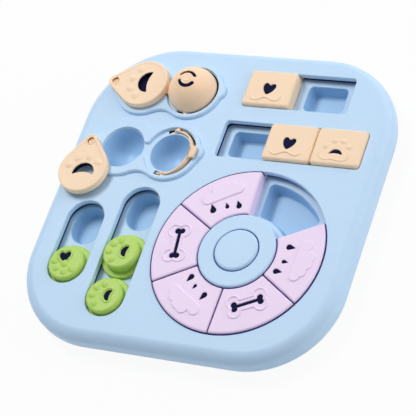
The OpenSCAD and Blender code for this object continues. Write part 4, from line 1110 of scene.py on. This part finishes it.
def build_floor():
    """Pale floor that takes shadow, while the camera and reflections see it nearly white."""
    s = FLOOR_HALF
    mesh = bpy.data.meshes.new("floor")
    mesh.from_pydata([(-s, -s, 0), (s, -s, 0), (s, s, 0), (-s, s, 0)], [], [(0, 1, 2, 3)])
    floor = bpy.data.objects.new("floor", mesh)
    bpy.context.scene.collection.objects.link(floor)
    m = bpy.data.materials.new("floor_white")
    m.use_nodes = True
    tree = m.node_tree
    tree.nodes.clear()
    out = add_node(tree, "OutputMaterial")
    diffuse = add_node(tree, "BsdfDiffuse", Color=(0.86, 0.86, 0.86, 1))
    glow = add_node(tree, "Emission", Color=WHITE, Strength=1.0)
    path = add_node(tree, "LightPath")
    seen = add_node(tree, "Math")
    seen.operation = "MAXIMUM"
    share = add_node(tree, "Math")
    share.operation = "MULTIPLY"
    share.inputs[1].default_value = 0.93
    mix = add_node(tree, "MixShader")
    link = tree.links.new
    link(path.outputs["Is Camera Ray"], seen.inputs[0])
    link(path.outputs["Is Glossy Ray"], seen.inputs[1])
    link(seen.outputs[0], share.inputs[0])
    link(share.outputs[0], mix.inputs[0])
    link(diffuse.outputs[0], mix.inputs[1])
    link(glow.outputs[0], mix.inputs[2])
    link(mix.outputs[0], out.inputs["Surface"])
    mesh.materials.append(m)


def build_world():
    """Soft fill, brighter near the horizon than overhead, behind a white backdrop for the camera."""
    world = bpy.data.worlds.new("studio")
    bpy.context.scene.world = world
    world.use_nodes = True
    tree = world.node_tree
    tree.nodes.clear()
    out = add_node(tree, "OutputWorld")
    fill = add_node(tree, "Background", Color=(0.92, 0.97, 1, 1))
    coord = add_node(tree, "TexCoord")
    split = add_node(tree, "SeparateXYZ")
    level = add_node(tree, "MapRange", From_Min=0.0, From_Max=0.6, To_Min=1.15, To_Max=0.16)
    level.interpolation_type = "SMOOTHSTEP"
    white = add_node(tree, "Background", Color=WHITE, Strength=1.0)
    path = add_node(tree, "LightPath")
    mix = add_node(tree, "MixShader")
    link = tree.links.new
    link(coord.outputs["Generated"], split.inputs[0])
    link(split.outputs["Z"], level.inputs["Value"])
    link(level.outputs["Result"], fill.inputs["Strength"])
    link(path.outputs["Is Camera Ray"], mix.inputs[0])
    link(fill.outputs[0], mix.inputs[1])
    link(white.outputs[0], mix.inputs[2])
    link(mix.outputs[0], out.inputs["Surface"])


def softbox(name, place, size, power, colour=(1, 1, 1)):
    """Round lamp aimed at the origin."""
    lamp = bpy.data.lights.new(name, "AREA")
    lamp.shape = "DISK"
    lamp.size = size
    lamp.energy = power
    lamp.color = colour
    o = bpy.data.objects.new(name, lamp)
    o.location = place
    o.rotation_euler = (-Vector(place)).to_track_quat("-Z", "Y").to_euler()
    bpy.context.scene.collection.objects.link(o)


CAMERA_PLACE = (0.6487, -0.5863, 1.1147)
CAMERA_TURN = (33.008, 20.642, 19.642)  # XYZ Euler angles, in degrees
CAMERA_LENS = 162.4545


def build_camera():
    camera = bpy.data.cameras.new("camera")
    camera.sensor_width = 36
    camera.lens = CAMERA_LENS
    camera.clip_end = 50
    o = bpy.data.objects.new("camera", camera)
    o.location = CAMERA_PLACE
    o.rotation_euler = [rad(a) for a in CAMERA_TURN]
    bpy.context.scene.collection.objects.link(o)
    bpy.context.scene.camera = o


build_floor()
build_world()
softbox("key_lamp", (-0.75, 0.55, 1.5), 0.7, 15.5)
softbox("top_lamp", (0.5, 0.7, 1.3), 1.2, 4.6)
softbox("side_lamp", (1.3, 0.6, 0.55), 0.9, 6.5, (1, 0.95, 0.9))
build_camera()
bpy.context.scene.view_settings.view_transform = "Standard"

bpy.context.view_layer.update()
